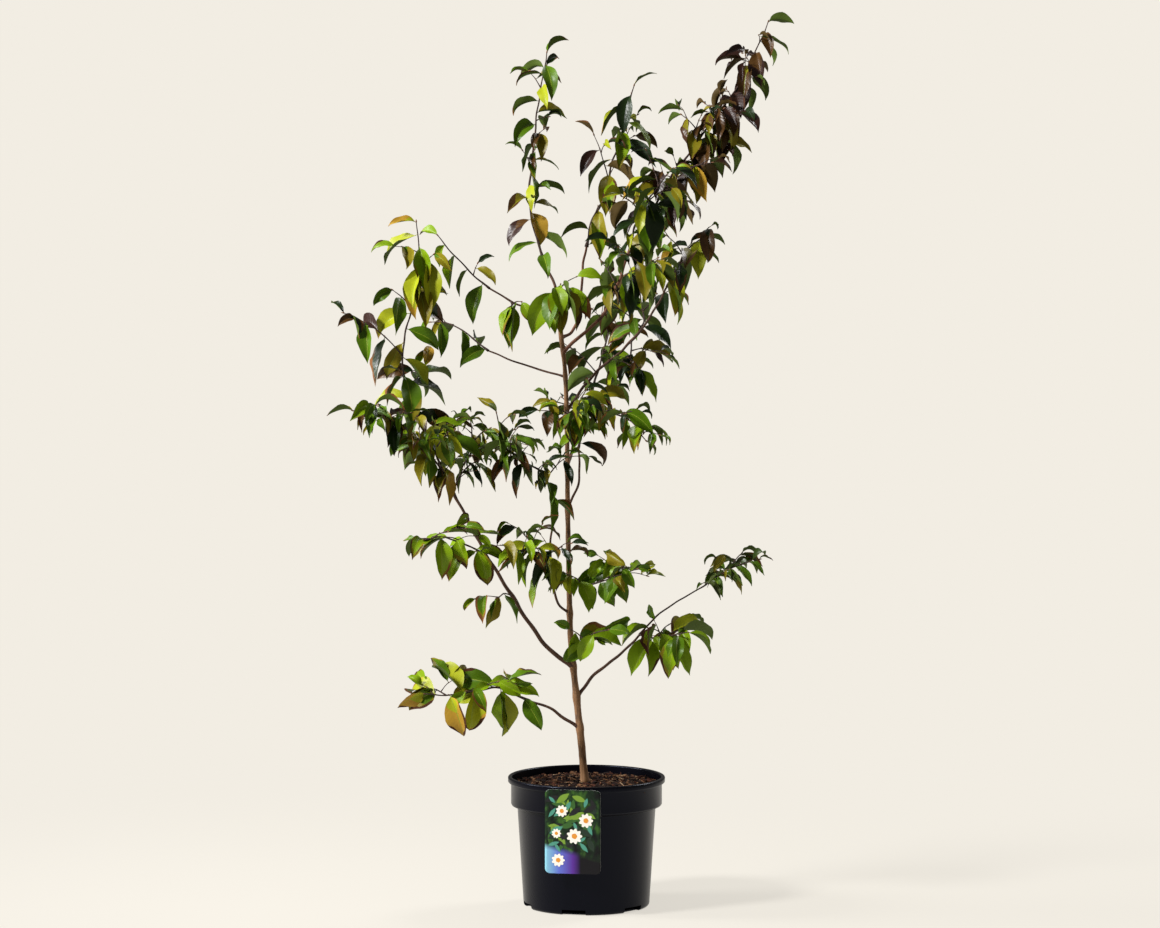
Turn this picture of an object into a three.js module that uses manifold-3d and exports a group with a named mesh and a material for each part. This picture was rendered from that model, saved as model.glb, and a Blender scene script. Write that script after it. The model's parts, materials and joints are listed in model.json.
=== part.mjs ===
import * as THREE from 'three';
import { mergeVertices } from 'three/addons/utils/BufferGeometryUtils.js';
import Module from 'manifold-3d';

const wasm = await Module();
wasm.setup();

// A young Japanese stewartia in its nursery pot, in millimetres.
// A place is [side, depth, height]: side grows to the right, depth away from the viewer,
// and height is measured from the flat underside of the pot, at its centre.

// Space kept between neighbouring pieces
const CLEARANCE = 0.3;

// Nursery pot
const POT_HEIGHT = 216;
const POT_LIP_RADIUS = 130;
const POT_LIP_DEPTH = 10;
const POT_LIP_ROUND = 2;
const POT_COLLAR_RADIUS = 125;
const POT_COLLAR_DEPTH = 36;
const POT_COLLAR_STEP = 5;
const POT_COLLAR_FOOT = POT_HEIGHT - POT_LIP_DEPTH - POT_COLLAR_DEPTH;
const POT_SHOULDER_RADIUS = 115;
const POT_BOTTOM_RADIUS = 104.5;
const POT_BEVEL = 6;
const POT_WALL = 1.8;
const POT_BASE = 2.4;
const POT_SIDES = 32;
const DRAIN_SLOTS = 6;
const DRAIN_SLOT_WIDTH = 40;
const DRAIN_SLOT_HEIGHT = 9;
const DRAIN_SLOT_REACH = 92;
const DRAIN_SLOT_DEPTH = 15;
const DRAIN_SLOT_TURN = -12;

// Compost in the pot
const SOIL_TOP = 206.5;
const SOIL_EDGE_TOP = 203;
const SOIL_FLAT_RADIUS = 14;
const SOIL_GAP = 0.5;

// Printed card that hangs in front of the lip
const CARD_WIDTH = 92;
const CARD_TOP = 212;
const CARD_BOTTOM = 74;
const CARD_THICKNESS = 1;
const CARD_CORNER = 8;
const CARD_BEARING = -10;

// Trunk, from the compost to where the leaders part
const TRUNK_FOOT = SOIL_TOP + CLEARANCE;
const TRUNK_FLARE_RADIUS = 8.5;
const TRUNK_FLARE_HEIGHT = 22;
const TRUNK_LOW_RADIUS = 6.3;
const TRUNK_MID_RADIUS = 4.3;
const TRUNK_TOP_RADIUS = 3.2;
const TRUNK_MID = 0.45;
const TRUNK_ROUTE = [
  [-3, 0, TRUNK_FOOT], [-9, 1, 276], [-16, 2, 342], [-26, 0, 442], [-29, -2, 550],
  [-31, 0, 658], [-32, 2, 773], [-35, 0, 881], [-42, -2, 947], [-44, -3, 985],
];
const TRUNK_SIDES = 8;
const TRUNK_STEP = 36;

// Boughs: at is the share of the parent's length, foot and tip are radii
const BOUGH_SIDES = 6;
const BOUGH_STEP = 28;
const BOUGHS = [
  {
    name: 'low_left_bough', at: 0.114, foot: 3.0, tip: 1.9,
    route: [[-39, -9, 315], [-60, -18, 331], [-93, -30, 345]],
  },
  {
    name: 'low_right_bough', at: 0.18, foot: 3.0, tip: 1.9,
    route: [[14, 18, 383], [56, 36, 414], [89, 51, 445]],
  },
  {
    name: 'left_bough', at: 0.247, foot: 3.8, tip: 2.1,
    route: [
      [-57, -12, 424], [-91, -24, 468], [-127, -37, 527],
      [-167, -55, 594], [-200, -72, 659], [-227, -82, 715],
    ],
  },
  {
    name: 'inner_left_bough', at: 0.36, foot: 2.1, tip: 1.6,
    route: [[-47, -12, 506], [-59, -27, 552], [-58, -42, 619], [-53, -51, 666]],
  },
  {
    name: 'inner_right_bough', at: 0.583, foot: 2.1, tip: 1.6,
    route: [[-16, -6, 695], [-11, -12, 725], [-14, -18, 761]],
  },
  {
    name: 'back_bough', at: 0.664, foot: 2.5, tip: 1.8,
    route: [[-26, 40, 746], [-12, 85, 785], [6, 125, 833]],
  },
  {
    name: 'right_mid_bough', at: 0.79, foot: 2.5, tip: 1.7,
    route: [[12, 24, 880], [58, 45, 918], [98, 66, 962], [134, 82, 1022]],
  },
  {
    name: 'mid_left_bough', at: 0.862, foot: 1.8, tip: 1.3,
    route: [[-77, 12, 889], [-116, 21, 901], [-162, 30, 919]],
  },
  {
    name: 'right_leader', at: 0.915, foot: 3.0, tip: 2.2,
    route: [[-11, -12, 945], [25, -18, 978], [50, -12, 1029], [73, 0, 1093]],
  },
  {
    name: 'middle_leader', at: 0.945, foot: 2.6, tip: 1.9,
    route: [[-22, 18, 953], [-11, 30, 987], [-7, 36, 1044], [-1, 36, 1090]],
  },
  {
    name: 'upper_left_bough', at: 0.965, foot: 1.9, tip: 1.4,
    route: [[-80, -6, 985], [-121, -12, 1001], [-158, -18, 1024]],
  },
  {
    name: 'left_leader', at: 1, foot: 2.7, tip: 1.9,
    route: [[-47, -4, 1008], [-57, -3, 1040], [-71, 0, 1071]],
  },
];

// Twigs and leaves
const STEM_TIP_RADIUS = 1.0;
const TWIG_FOOT_RADIUS = 1.2;
const TWIG_TIP_RADIUS = 0.9;
const TWIG_SIDES = 3;
const TWIG_STEPS = 2;
const STEM_STEP = 45;
const LEAF_WIDTH = 0.56;
const LEAF_THICKNESS = 0.035;
const LEAF_WIDEST = 0.45;
const LEAF_SWING = 34;
const LEAF_ROLL = 55;
const LEAF_LEAN = 0.5;
const FRONT_BEARING = -90;
const FRONT_DROP = 25;
const LAST_LEAF_LIFT = 50;
const LEAF_SAG = 20;
const LEAF_LEVEL_RISE = 30;
const LEAF_HANG_DROP = 60;
const LEAF_BEND = 70;
const LEAF_HANG_STIFFNESS = 18;
const LEAF_STEEPEST = -95;
const LEAF_SIZES = [0.8, 1.2];
const LAST_LEAF_SIZE = 0.65;
const LEAF_SINK = 0.15;
const LEAF_SEED = 7919;
const LEAF_TURNS = [0, 35, -35, 70, -70, 105, -105];
const TWIG_TURN = 137.5;
const TWIG_RISE = 0.35;
const TWIG_AHEAD = 0.5;
const TWIG_ARCH = 0.08;
const TWIG_BARE = 0.3;
const TWIG_FIRST = 0.15;
const TWIG_SPREAD = 0.75;

// Masses of leaves. on names the limb that carries the stem, at the share of its length.
// leaf is the length of a leaf and gap the space between leaves along a twig. hang is 0 for
// level leaves and 1 for hanging ones, and sag is how far that varies, in degrees. fan is the
// bearing that leaves on an upright stem spread along, and bare the leafless share of the stem.
// front is the share of leaves that hang forward, with their upper side to the viewer.
// twigs branch by the seeded rule, each about twig long, and a spur is a twig given as
// [share of the stem, side, depth, height], the last three from its foot to its tip. tilt is
// how far the leaves of a spray turn to face the viewer, in degrees.
const MASSES = [
  {
    name: 'low_left_foliage', on: 'low_left_bough', at: 1, foot: 1.9, seed: 6111,
    leaf: 70, gap: 24, hang: 0.35, tilt: 60, fan: 0, bare: 0.02, twigs: 3, twig: 46,
    route: [[-121, -42, 359], [-146, -52, 370], [-178, -68, 367], [-229, -90, 362], [-262, -108, 367]],
  },
  {
    name: 'low_right_inner_foliage', on: 'low_right_bough', at: 1, foot: 1.4, seed: 6107,
    leaf: 74, gap: 24, hang: 0.7, front: 0.5, tilt: 30, fan: 0, bare: 0.1, twigs: 2, twig: 45,
    route: [[113, 15, 444], [141, -38, 455], [165, -75, 464]],
  },
  {
    name: 'low_right_outer_foliage', on: 'low_right_bough', at: 1, foot: 1.7, seed: 3198,
    leaf: 52, gap: 17, hang: 0.35, tilt: 20, fan: 0, bare: 0.62, twigs: 0,
    route: [[109, 63, 467], [139, 75, 490], [192, 90, 520], [237, 96, 549], [272, 96, 562]],
    spurs: [[0.85, 20, 34, 22], [0.75, 18, -30, 14]],
  },
  {
    name: 'low_trunk_foliage', on: 'trunk', at: 0.3, foot: 1.3, seed: 2177,
    leaf: 54, gap: 18, hang: 0.35, tilt: 60, fan: 0, bare: 0.2, twigs: 1, twig: 36,
    route: [[-6, -45, 446], [12, -75, 462], [35, -99, 471]],
  },
  {
    name: 'left_low_foliage', on: 'left_bough', at: 0.42, foot: 1.2, seed: 6140,
    leaf: 64, gap: 22, hang: 0.6, front: 0.4, tilt: 45, fan: 0, bare: 0.3, twigs: 0,
    route: [[-134, -60, 526], [-147, -93, 522]],
  },
  {
    name: 'left_side_foliage', on: 'left_bough', at: 0.64, foot: 1.4, seed: 5136,
    leaf: 62, gap: 20, hang: 0.5, front: 0.3, tilt: 40, fan: 0, bare: 0.12, twigs: 2, twig: 48,
    route: [[-197, -82, 608], [-233, -112, 624], [-262, -135, 622]],
  },
  {
    name: 'far_left_foliage', on: 'left_bough', at: 0.92, foot: 1.7, seed: 5210,
    leaf: 62, gap: 20, hang: 0.35, front: 0.25, tilt: 15, fan: 0, bare: 0.15, twigs: 4, twig: 58,
    route: [[-249, -105, 753], [-286, -120, 796], [-331, -138, 822], [-375, -150, 832]],
  },
  {
    name: 'left_shoot_foliage', on: 'left_bough', at: 1, foot: 2.0, seed: 2206,
    leaf: 78, gap: 23, hang: 0.75, front: 0.4, tilt: 35, fan: 10, bare: 0.06, twigs: 4, twig: 58,
    route: [
      [-256, -60, 777], [-292, -51, 855], [-300, -51, 924],
      [-284, -57, 998], [-272, -63, 1052], [-276, -66, 1133],
    ],
    spurs: [[0.5, -75, -30, 62], [0.12, 22, -44, 30]],
  },
  {
    name: 'left_tangle_foliage', on: 'left_bough', at: 0.94, foot: 1.3, seed: 2280,
    leaf: 50, gap: 16, hang: 0.6, front: 0.3, fan: 0, bare: 0.1, twigs: 3, twig: 45,
    route: [[-204, -45, 730], [-189, 0, 760], [-192, 36, 805]],
  },
  {
    name: 'inner_left_foliage', on: 'inner_left_bough', at: 1, foot: 1.6, seed: 6276,
    leaf: 58, gap: 17, hang: 0.55, front: 0.2, tilt: 20, fan: 0, bare: 0.05, twigs: 3, twig: 50,
    route: [[-68, -60, 719], [-102, -78, 745], [-135, -90, 772], [-146, -90, 824]],
  },
  {
    name: 'inner_left_low_foliage', on: 'inner_left_bough', at: 0.4, foot: 1.3, seed: 5272,
    leaf: 64, gap: 22, hang: 0.6, front: 0.3, tilt: 25, fan: 0, bare: 0.1, twigs: 2, twig: 44,
    route: [[-80, -75, 593], [-122, -112, 604]],
  },
  {
    name: 'right_low_foliage', on: 'trunk', at: 0.42, foot: 1.5, seed: 2046,
    leaf: 52, gap: 18, hang: 0.4, front: 0.2, tilt: 50, fan: 0, bare: 0.1, twigs: 4, twig: 42,
    route: [[6, -36, 538], [47, -60, 554], [82, -78, 568]],
  },
  {
    name: 'centre_right_foliage', on: 'inner_right_bough', at: 1, foot: 1.6, seed: 5120,
    leaf: 54, gap: 18, hang: 0.6, front: 0.3, tilt: 20, fan: 0, bare: 0.05, twigs: 5, twig: 52,
    route: [[-4, -36, 795], [28, -66, 823], [71, -84, 811], [95, -90, 781]],
  },
  {
    name: 'centre_front_foliage', on: 'trunk', at: 0.79, foot: 1.4, seed: 3244,
    leaf: 56, gap: 20, hang: 0.55, front: 0.4, tilt: 30, fan: 0, bare: 0.2, twigs: 3, twig: 48,
    route: [[-22, -60, 811], [-11, -120, 847]],
  },
  {
    name: 'right_mid_low_foliage', on: 'right_mid_bough', at: 0.6, foot: 1.4, seed: 5001,
    leaf: 62, gap: 20, hang: 0.7, front: 0.5, tilt: 25, fan: 0, bare: 0.2, twigs: 3, twig: 44,
    route: [[75, -3, 892], [88, -54, 897]],
  },
  {
    name: 'mid_left_foliage', on: 'mid_left_bough', at: 1, foot: 1.3, seed: 3314,
    leaf: 62, gap: 24, hang: 0.6, front: 0.5, tilt: 25, fan: 0, bare: 0, twigs: 0,
    route: [[-202, 36, 950], [-232, 45, 965], [-257, 54, 965]],
  },
  {
    name: 'upper_left_foliage', on: 'upper_left_bough', at: 1, foot: 1.4, seed: 513,
    leaf: 62, gap: 26, hang: 0.8, front: 0.6, tilt: 15, fan: 0, bare: 0.1, twigs: 0,
    route: [[-183, -21, 1044], [-217, -24, 1079], [-243, -30, 1110]],
  },
  {
    name: 'upper_left_inner_foliage', on: 'upper_left_bough', at: 0.7, foot: 1.1, seed: 378,
    leaf: 80, gap: 16, hang: 0.95, front: 1, tilt: 35, fan: 0, bare: 0.3, twigs: 1, twig: 36,
    route: [[-122, -40, 998], [-125, -58, 996]],
  },
  {
    name: 'left_leader_foliage', on: 'left_leader', at: 1, foot: 1.9, seed: 563,
    leaf: 62, gap: 20, hang: 0.5, front: 0.3, fan: 0, bare: 0, twigs: 0,
    route: [[-86, 3, 1122], [-94, 6, 1176], [-86, 9, 1261], [-80, 9, 1320], [-71, 9, 1372], [-65, 9, 1408]],
  },
  {
    name: 'leader_base_foliage', on: 'left_leader', at: 0.3, foot: 1.2, seed: 448,
    leaf: 72, gap: 18, hang: 0.7, front: 0.6, tilt: 25, fan: 0, bare: 0.1, twigs: 2, twig: 50,
    route: [[-50, -45, 1012], [-43, -90, 1033]],
  },
  {
    name: 'middle_leader_foliage', on: 'middle_leader', at: 1, foot: 1.9, seed: 333,
    leaf: 70, gap: 22, hang: 0.6, front: 0.4, fan: 0, bare: 0, twigs: 1, twig: 46,
    route: [[11, 39, 1138], [32, 45, 1174], [39, 51, 1217], [52, 54, 1256], [67, 57, 1309], [78, 60, 1354]],
    spurs: [[0.42, -24, -10, 74]],
  },
  {
    name: 'right_leader_foliage', on: 'right_leader', at: 1, foot: 2.2, seed: 518,
    leaf: 64, gap: 20, hang: 0.85, front: 0.25, fan: 20, bare: 0.02, twigs: 4, twig: 52,
    route: [
      [107, 15, 1150], [149, 36, 1215], [208, 69, 1297],
      [255, 96, 1361], [285, 114, 1422], [302, 120, 1460],
    ],
    spurs: [[0.12, 58, 24, 30], [0.3, 62, -26, 24], [0.42, 58, 30, 20], [0.56, 50, -20, 16]],
  },
  {
    name: 'right_leader_inner_foliage', on: 'right_leader', at: 0.97, foot: 1.6, seed: 592,
    leaf: 68, gap: 19, hang: 0.85, front: 0.4, fan: 0, bare: 0.05, twigs: 4, twig: 55,
    route: [[78, -39, 1123], [98, -81, 1167], [130, -120, 1212]],
  },
  {
    name: 'right_leader_low_foliage', on: 'right_leader', at: 0.6, foot: 1.5, seed: 3166,
    leaf: 66, gap: 19, hang: 0.85, front: 0.4, fan: 0, bare: 0.1, twigs: 4, twig: 52,
    route: [[52, -60, 1024], [85, -99, 1052], [112, -135, 1074]],
  },
  {
    name: 'right_mid_foliage', on: 'right_mid_bough', at: 1, foot: 1.5, seed: 362,
    leaf: 66, gap: 19, hang: 0.7, front: 0.4, fan: 0, bare: 0, twigs: 2, twig: 46,
    route: [[150, 90, 1054], [168, 99, 1084], [198, 105, 1107]],
  },
  {
    name: 'right_mid_back_foliage', on: 'right_mid_bough', at: 0.65, foot: 1.5, seed: 358,
    leaf: 64, gap: 25, hang: 0.8, fan: 30, bare: 0.1, twigs: 4, twig: 55,
    route: [[96, 135, 967], [89, 180, 1015], [98, 210, 1073]],
  },
  {
    name: 'crown_back_foliage', on: 'back_bough', at: 1, foot: 1.8, seed: 321,
    leaf: 62, gap: 27, hang: 0.7, fan: 0, bare: 0.1, twigs: 5, twig: 60,
    route: [[20, 150, 881], [38, 175, 947], [44, 205, 1012]],
  },
  {
    name: 'crown_back_low_foliage', on: 'back_bough', at: 0.8, foot: 1.6, seed: 506,
    leaf: 60, gap: 25, hang: 0.7, fan: 0, bare: 0.1, twigs: 3, twig: 52,
    route: [[-10, 150, 807], [-40, 190, 831]],
  },
];

// Colours read from the plant
const COLOURS = {
  pot: 0x26252b,
  soil: 0x3a2a22,
  card: 0x4f7d46,
  trunk: 0xa0835f,
  bough: 0x4a3427,
  lowLeaves: 0x4c7a2a,
  highLeaves: 0x2f4a26,
  bronzeLeaves: 0x4a2f24,
};

const RADIANS = Math.PI / 180;
const SIDE_AXIS = new THREE.Vector3(1, 0, 0);

function point([side, depth, height]) {
  return new THREE.Vector3(side, depth, height);
}

// Repeatable random numbers from 0 to 1
function numbersFrom(seed) {
  let state = seed >>> 0;
  return () => {
    state = (state + 0x6d2b79f5) >>> 0;
    let mixed = Math.imul(state ^ (state >>> 15), state | 1);
    mixed ^= mixed + Math.imul(mixed ^ (mixed >>> 7), mixed | 61);
    return ((mixed ^ (mixed >>> 14)) >>> 0) / 4294967296;
  };
}

function solidFrom(geometry) {
  const bare = geometry.clone();
  bare.deleteAttribute('normal');
  bare.deleteAttribute('uv');
  const merged = mergeVertices(bare, 1e-4);
  return new wasm.Manifold(new wasm.Mesh({
    numProp: 3,
    vertProperties: new Float32Array(merged.attributes.position.array),
    triVerts: new Uint32Array(merged.index.array),
  }));
}

function geometryFrom(solid) {
  const mesh = solid.getMesh();
  const geometry = new THREE.BufferGeometry();
  geometry.setAttribute('position', new THREE.BufferAttribute(new Float32Array(mesh.vertProperties), 3));
  geometry.setIndex(new THREE.BufferAttribute(new Uint32Array(mesh.triVerts), 1));
  geometry.computeVertexNormals();
  return geometry;
}

function closedGeometry(places, faces) {
  const geometry = new THREE.BufferGeometry();
  const flat = places.flatMap((place) => [place.x, place.y, place.z]);
  geometry.setAttribute('position', new THREE.Float32BufferAttribute(flat, 3));
  geometry.setIndex(faces.flat());
  geometry.computeVertexNormals();
  return geometry;
}

function curveThrough(places) {
  return new THREE.CatmullRomCurve3(places, false, 'catmullrom', 0.5);
}

// Rings of equal sides along a curve, closed at both ends
function roundLimb(curve, radiusAt, sides, steps, flatFoot) {
  const frames = curve.computeFrenetFrames(steps, false);
  const places = [];
  const faces = [];
  for (let step = 0; step <= steps; step += 1) {
    const share = step / steps;
    const centre = curve.getPointAt(share);
    const radius = radiusAt(share);
    for (let side = 0; side < sides; side += 1) {
      const turn = (2 * Math.PI * side) / sides;
      const place = centre.clone()
        .addScaledVector(frames.normals[step], radius * Math.cos(turn))
        .addScaledVector(frames.binormals[step], radius * Math.sin(turn));
      if (flatFoot && step === 0) {
        place.z = centre.z;
      }
      places.push(place);
    }
  }
  for (let step = 0; step < steps; step += 1) {
    for (let side = 0; side < sides; side += 1) {
      const next = (side + 1) % sides;
      const low = step * sides;
      const high = low + sides;
      faces.push([low + side, low + next, high + next], [low + side, high + next, high + side]);
    }
  }
  const last = steps * sides;
  for (let side = 1; side < sides - 1; side += 1) {
    faces.push([0, side + 1, side], [last, last + side, last + side + 1]);
  }
  return closedGeometry(places, faces);
}

// A place on the straight runs between a limb's rings
function onAxis(curve, steps, share) {
  const step = Math.min(Math.floor(share * steps), steps - 1);
  return curve.getPointAt(step / steps).lerp(curve.getPointAt((step + 1) / steps), share * steps - step);
}

function stepsFor(curve, stepLength) {
  return Math.max(2, Math.round(curve.getLength() / stepLength));
}

function taper(foot, tip) {
  return (share) => foot + (tip - foot) * share;
}

function trunkRadius(share) {
  const rise = share * (TRUNK_ROUTE.at(-1)[2] - TRUNK_FOOT);
  const flare = Math.max(0, 1 - rise / TRUNK_FLARE_HEIGHT) ** 2;
  const body = share < TRUNK_MID
    ? taper(TRUNK_LOW_RADIUS, TRUNK_MID_RADIUS)(share / TRUNK_MID)
    : taper(TRUNK_MID_RADIUS, TRUNK_TOP_RADIUS)((share - TRUNK_MID) / (1 - TRUNK_MID));
  return body + flare * (TRUNK_FLARE_RADIUS - TRUNK_LOW_RADIUS);
}

function potProfile() {
  const inside = (radius) => radius - POT_WALL;
  return [
    [0, 0],
    [POT_BOTTOM_RADIUS - POT_BEVEL, 0],
    [POT_BOTTOM_RADIUS, POT_BEVEL],
    [POT_SHOULDER_RADIUS, POT_COLLAR_FOOT - POT_COLLAR_STEP],
    [POT_COLLAR_RADIUS, POT_COLLAR_FOOT],
    [POT_COLLAR_RADIUS, POT_HEIGHT - POT_LIP_DEPTH],
    [POT_LIP_RADIUS, POT_HEIGHT - POT_LIP_DEPTH + POT_LIP_ROUND],
    [POT_LIP_RADIUS, POT_HEIGHT - POT_LIP_ROUND],
    [POT_LIP_RADIUS - POT_LIP_ROUND, POT_HEIGHT],
    [inside(POT_COLLAR_RADIUS), POT_HEIGHT],
    [inside(POT_COLLAR_RADIUS), POT_COLLAR_FOOT],
    [inside(POT_SHOULDER_RADIUS), POT_COLLAR_FOOT - POT_COLLAR_STEP],
    [inside(POT_BOTTOM_RADIUS), POT_BEVEL + POT_BASE],
    [inside(POT_BOTTOM_RADIUS) - POT_BEVEL, POT_BASE],
    [0, POT_BASE],
  ];
}

function latheAboutHeight(profile, sides) {
  const outline = profile.map(([radius, height]) => new THREE.Vector2(radius, height));
  const geometry = new THREE.LatheGeometry(outline, sides);
  geometry.rotateX(Math.PI / 2);
  return geometry;
}

function potSolid() {
  let solid = solidFrom(latheAboutHeight(potProfile(), POT_SIDES));
  for (let slot = 0; slot < DRAIN_SLOTS; slot += 1) {
    const cutter = new THREE.BoxGeometry(2 * DRAIN_SLOT_DEPTH, DRAIN_SLOT_WIDTH, 2 * DRAIN_SLOT_HEIGHT);
    cutter.translate(DRAIN_SLOT_REACH + DRAIN_SLOT_DEPTH, 0, 0);
    cutter.rotateZ((2 * Math.PI * slot) / DRAIN_SLOTS - Math.PI / 2 + DRAIN_SLOT_TURN * RADIANS);
    solid = solid.subtract(solidFrom(cutter));
  }
  return solid;
}

function soilSolid() {
  const gap = POT_WALL + SOIL_GAP;
  const profile = [
    [0, POT_BASE + SOIL_GAP],
    [POT_BOTTOM_RADIUS - gap - POT_BEVEL, POT_BASE + SOIL_GAP],
    [POT_BOTTOM_RADIUS - gap, POT_BEVEL + POT_BASE + SOIL_GAP],
    [POT_SHOULDER_RADIUS - gap, POT_COLLAR_FOOT - POT_COLLAR_STEP + SOIL_GAP],
    [POT_COLLAR_RADIUS - gap, POT_COLLAR_FOOT + SOIL_GAP],
    [POT_COLLAR_RADIUS - gap, SOIL_EDGE_TOP],
    [SOIL_FLAT_RADIUS, SOIL_TOP],
    [0, SOIL_TOP],
  ];
  return solidFrom(latheAboutHeight(profile, POT_SIDES));
}

function cardGeometry() {
  const height = CARD_TOP - CARD_BOTTOM;
  const half = CARD_WIDTH / 2;
  const outline = new THREE.Shape();
  outline.moveTo(-half + CARD_CORNER, 0);
  outline.lineTo(half - CARD_CORNER, 0);
  outline.absarc(half - CARD_CORNER, CARD_CORNER, CARD_CORNER, -Math.PI / 2, 0);
  outline.absarc(half - CARD_CORNER, height - CARD_CORNER, CARD_CORNER, 0, Math.PI / 2);
  outline.absarc(-half + CARD_CORNER, height - CARD_CORNER, CARD_CORNER, Math.PI / 2, Math.PI);
  outline.absarc(-half + CARD_CORNER, CARD_CORNER, CARD_CORNER, Math.PI, 1.5 * Math.PI);
  const geometry = new THREE.ExtrudeGeometry(outline, {
    depth: CARD_THICKNESS, bevelEnabled: false, curveSegments: 3,
  });
  geometry.rotateX(Math.PI / 2);
  geometry.translate(0, -POT_LIP_RADIUS - CLEARANCE, CARD_BOTTOM);
  geometry.rotateZ(CARD_BEARING * RADIANS);
  return geometry;
}

// Limbs that others can grow from, by name
const limbs = new Map();
// Everything that a leaf or twig keeps clear of
const obstacles = [];

function reachBox(solid, spare) {
  const { min, max } = solid.boundingBox();
  return new THREE.Box3(
    new THREE.Vector3(...min).subScalar(spare),
    new THREE.Vector3(...max).addScalar(spare),
  );
}

function addObstacle(owner, solid) {
  obstacles.push({ owner, solid, box: reachBox(solid, CLEARANCE) });
}

function isClear(solid, owner) {
  const box = reachBox(solid, 0);
  return obstacles.every((other) => other.owner === owner
    || !other.box.intersectsBox(box)
    || solid.minGap(other.solid, 2 * CLEARANCE) >= CLEARANCE);
}

// A limb on its parent's tip is moved out along its first leg until it is just clear,
// and one on the parent's side is cut to the parent's round
function seated(parent, at, route, radiusAt, sides, stepLength) {
  const start = onAxis(parent.curve, parent.steps, at);
  const places = route.map(point);
  const build = (foot) => {
    const curve = curveThrough([foot, ...places]);
    const steps = stepsFor(curve, stepLength);
    return { curve, steps, solid: solidFrom(roundLimb(curve, radiusAt, sides, steps, false)) };
  };
  if (at < 1) {
    const limb = build(start);
    return { ...limb, solid: soundBody(limb.solid.subtract(parent.grown)) };
  }
  const leg = places[0].clone().sub(start).normalize();
  for (let offset = CLEARANCE; offset < 12; offset += 0.1) {
    const limb = build(start.clone().addScaledVector(leg, offset));
    if (limb.solid.minGap(parent.solid, 2) >= CLEARANCE) {
      return limb;
    }
  }
  throw new Error('a limb finds no seat on its parent');
}

// The same limb with its sides moved out by the clearance, to cut its children with
function grownLimb(curve, radiusAt, sides, stepLength) {
  const spare = (1.3 * CLEARANCE) / Math.cos(Math.PI / sides);
  const wider = (share) => radiusAt(share) + spare;
  return solidFrom(roundLimb(curve, wider, sides, stepsFor(curve, stepLength), false));
}

// A leaf is a bent kite of eight faces: its root and tip, the two edges and the two sides
// of the blade where it is widest
function leafSolid({ foot, bearing, rise, fall, roll, tilt, length }, turned) {
  const heading = (bearing + turned) * RADIANS;
  const level = new THREE.Vector3(Math.cos(heading), Math.sin(heading), 0);
  const up = new THREE.Vector3(0, 0, 1);
  const facing = (direction) => direction.applyAxisAngle(SIDE_AXIS, tilt * RADIANS);
  const along = (angle) => facing(level.clone().multiplyScalar(Math.cos(angle * RADIANS))
    .addScaledVector(up, Math.sin(angle * RADIANS)));
  const first = along(rise + (fall - rise) * 0.25);
  const second = along(rise + (fall - rise) * 0.75);
  const chord = first.clone().add(second).normalize();
  const across = facing(new THREE.Vector3(-level.y, level.x, 0)).applyAxisAngle(chord, roll * RADIANS);
  const face = chord.clone().cross(across).normalize();
  const root = foot.clone().addScaledVector(first, -LEAF_SINK);
  const middle = foot.clone().addScaledVector(first, length * LEAF_WIDEST);
  const tip = middle.clone().addScaledVector(second, length * (1 - LEAF_WIDEST));
  const half = (length * LEAF_WIDTH) / 2;
  const thick = (length * LEAF_THICKNESS) / 2;
  const rim = [
    middle.clone().addScaledVector(across, half),
    middle.clone().addScaledVector(face, thick),
    middle.clone().addScaledVector(across, -half),
    middle.clone().addScaledVector(face, -thick),
  ];
  const faces = [];
  for (let side = 0; side < 4; side += 1) {
    const next = (side + 1) % 4;
    faces.push([0, 2 + next, 2 + side], [1, 2 + side, 2 + next]);
  }
  return solidFrom(closedGeometry([root, tip, ...rim], faces));
}

// Leaves stand in two rows along an axis, and one ends it
function leavesAlong({ curve, steps, bare, seed }, mass) {
  const random = numbersFrom(seed);
  const count = Math.max(1, Math.round((curve.getLength() * (1 - bare)) / mass.gap));
  const leaves = [];
  for (let index = 0; index <= count; index += 1) {
    const last = index === count;
    const share = last ? 1 : bare + ((1 - bare) * (index + 0.5 * random())) / count;
    const swing = (2 * random() - 1) * LEAF_SWING;
    const sag = (2 * random() - 1) * (mass.sag ?? LEAF_SAG);
    const roll = (2 * random() - 1) * LEAF_ROLL;
    const size = LEAF_SIZES[0] + (LEAF_SIZES[1] - LEAF_SIZES[0]) * random();
    const axis = curve.getTangentAt(Math.min(share, 0.999));
    const flat = Math.hypot(axis.x, axis.y);
    const fan = mass.fan * RADIANS;
    const row = flat > 0.6
      ? new THREE.Vector2(-axis.y / flat, axis.x / flat)
      : new THREE.Vector2(Math.cos(fan), Math.sin(fan));
    const hand = last ? 0 : (index % 2 === 0 ? 1 : -1);
    const lean = last ? 1 : LEAF_LEAN;
    const ahead = flat > 0.05 ? 1 : 0;
    const heading = Math.atan2(hand * row.y + lean * ahead * axis.y, hand * row.x + lean * ahead * axis.x);
    const forward = mass.front > 0 && random() < mass.front && !last;
    const lift = (last ? LAST_LEAF_LIFT * axis.z : 0) - (forward ? FRONT_DROP : 0);
    const rise = LEAF_LEVEL_RISE - LEAF_HANG_DROP * mass.hang + lift + sag;
    leaves.push({
      foot: onAxis(curve, steps, share),
      bearing: (forward ? FRONT_BEARING : heading / RADIANS) + swing,
      rise,
      fall: Math.max(rise - LEAF_BEND + LEAF_HANG_STIFFNESS * mass.hang, LEAF_STEEPEST),
      roll,
      tilt: forward ? 0 : mass.tilt ?? 0,
      length: mass.leaf * size * (last ? LAST_LEAF_SIZE : 1),
    });
  }
  return leaves;
}

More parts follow.
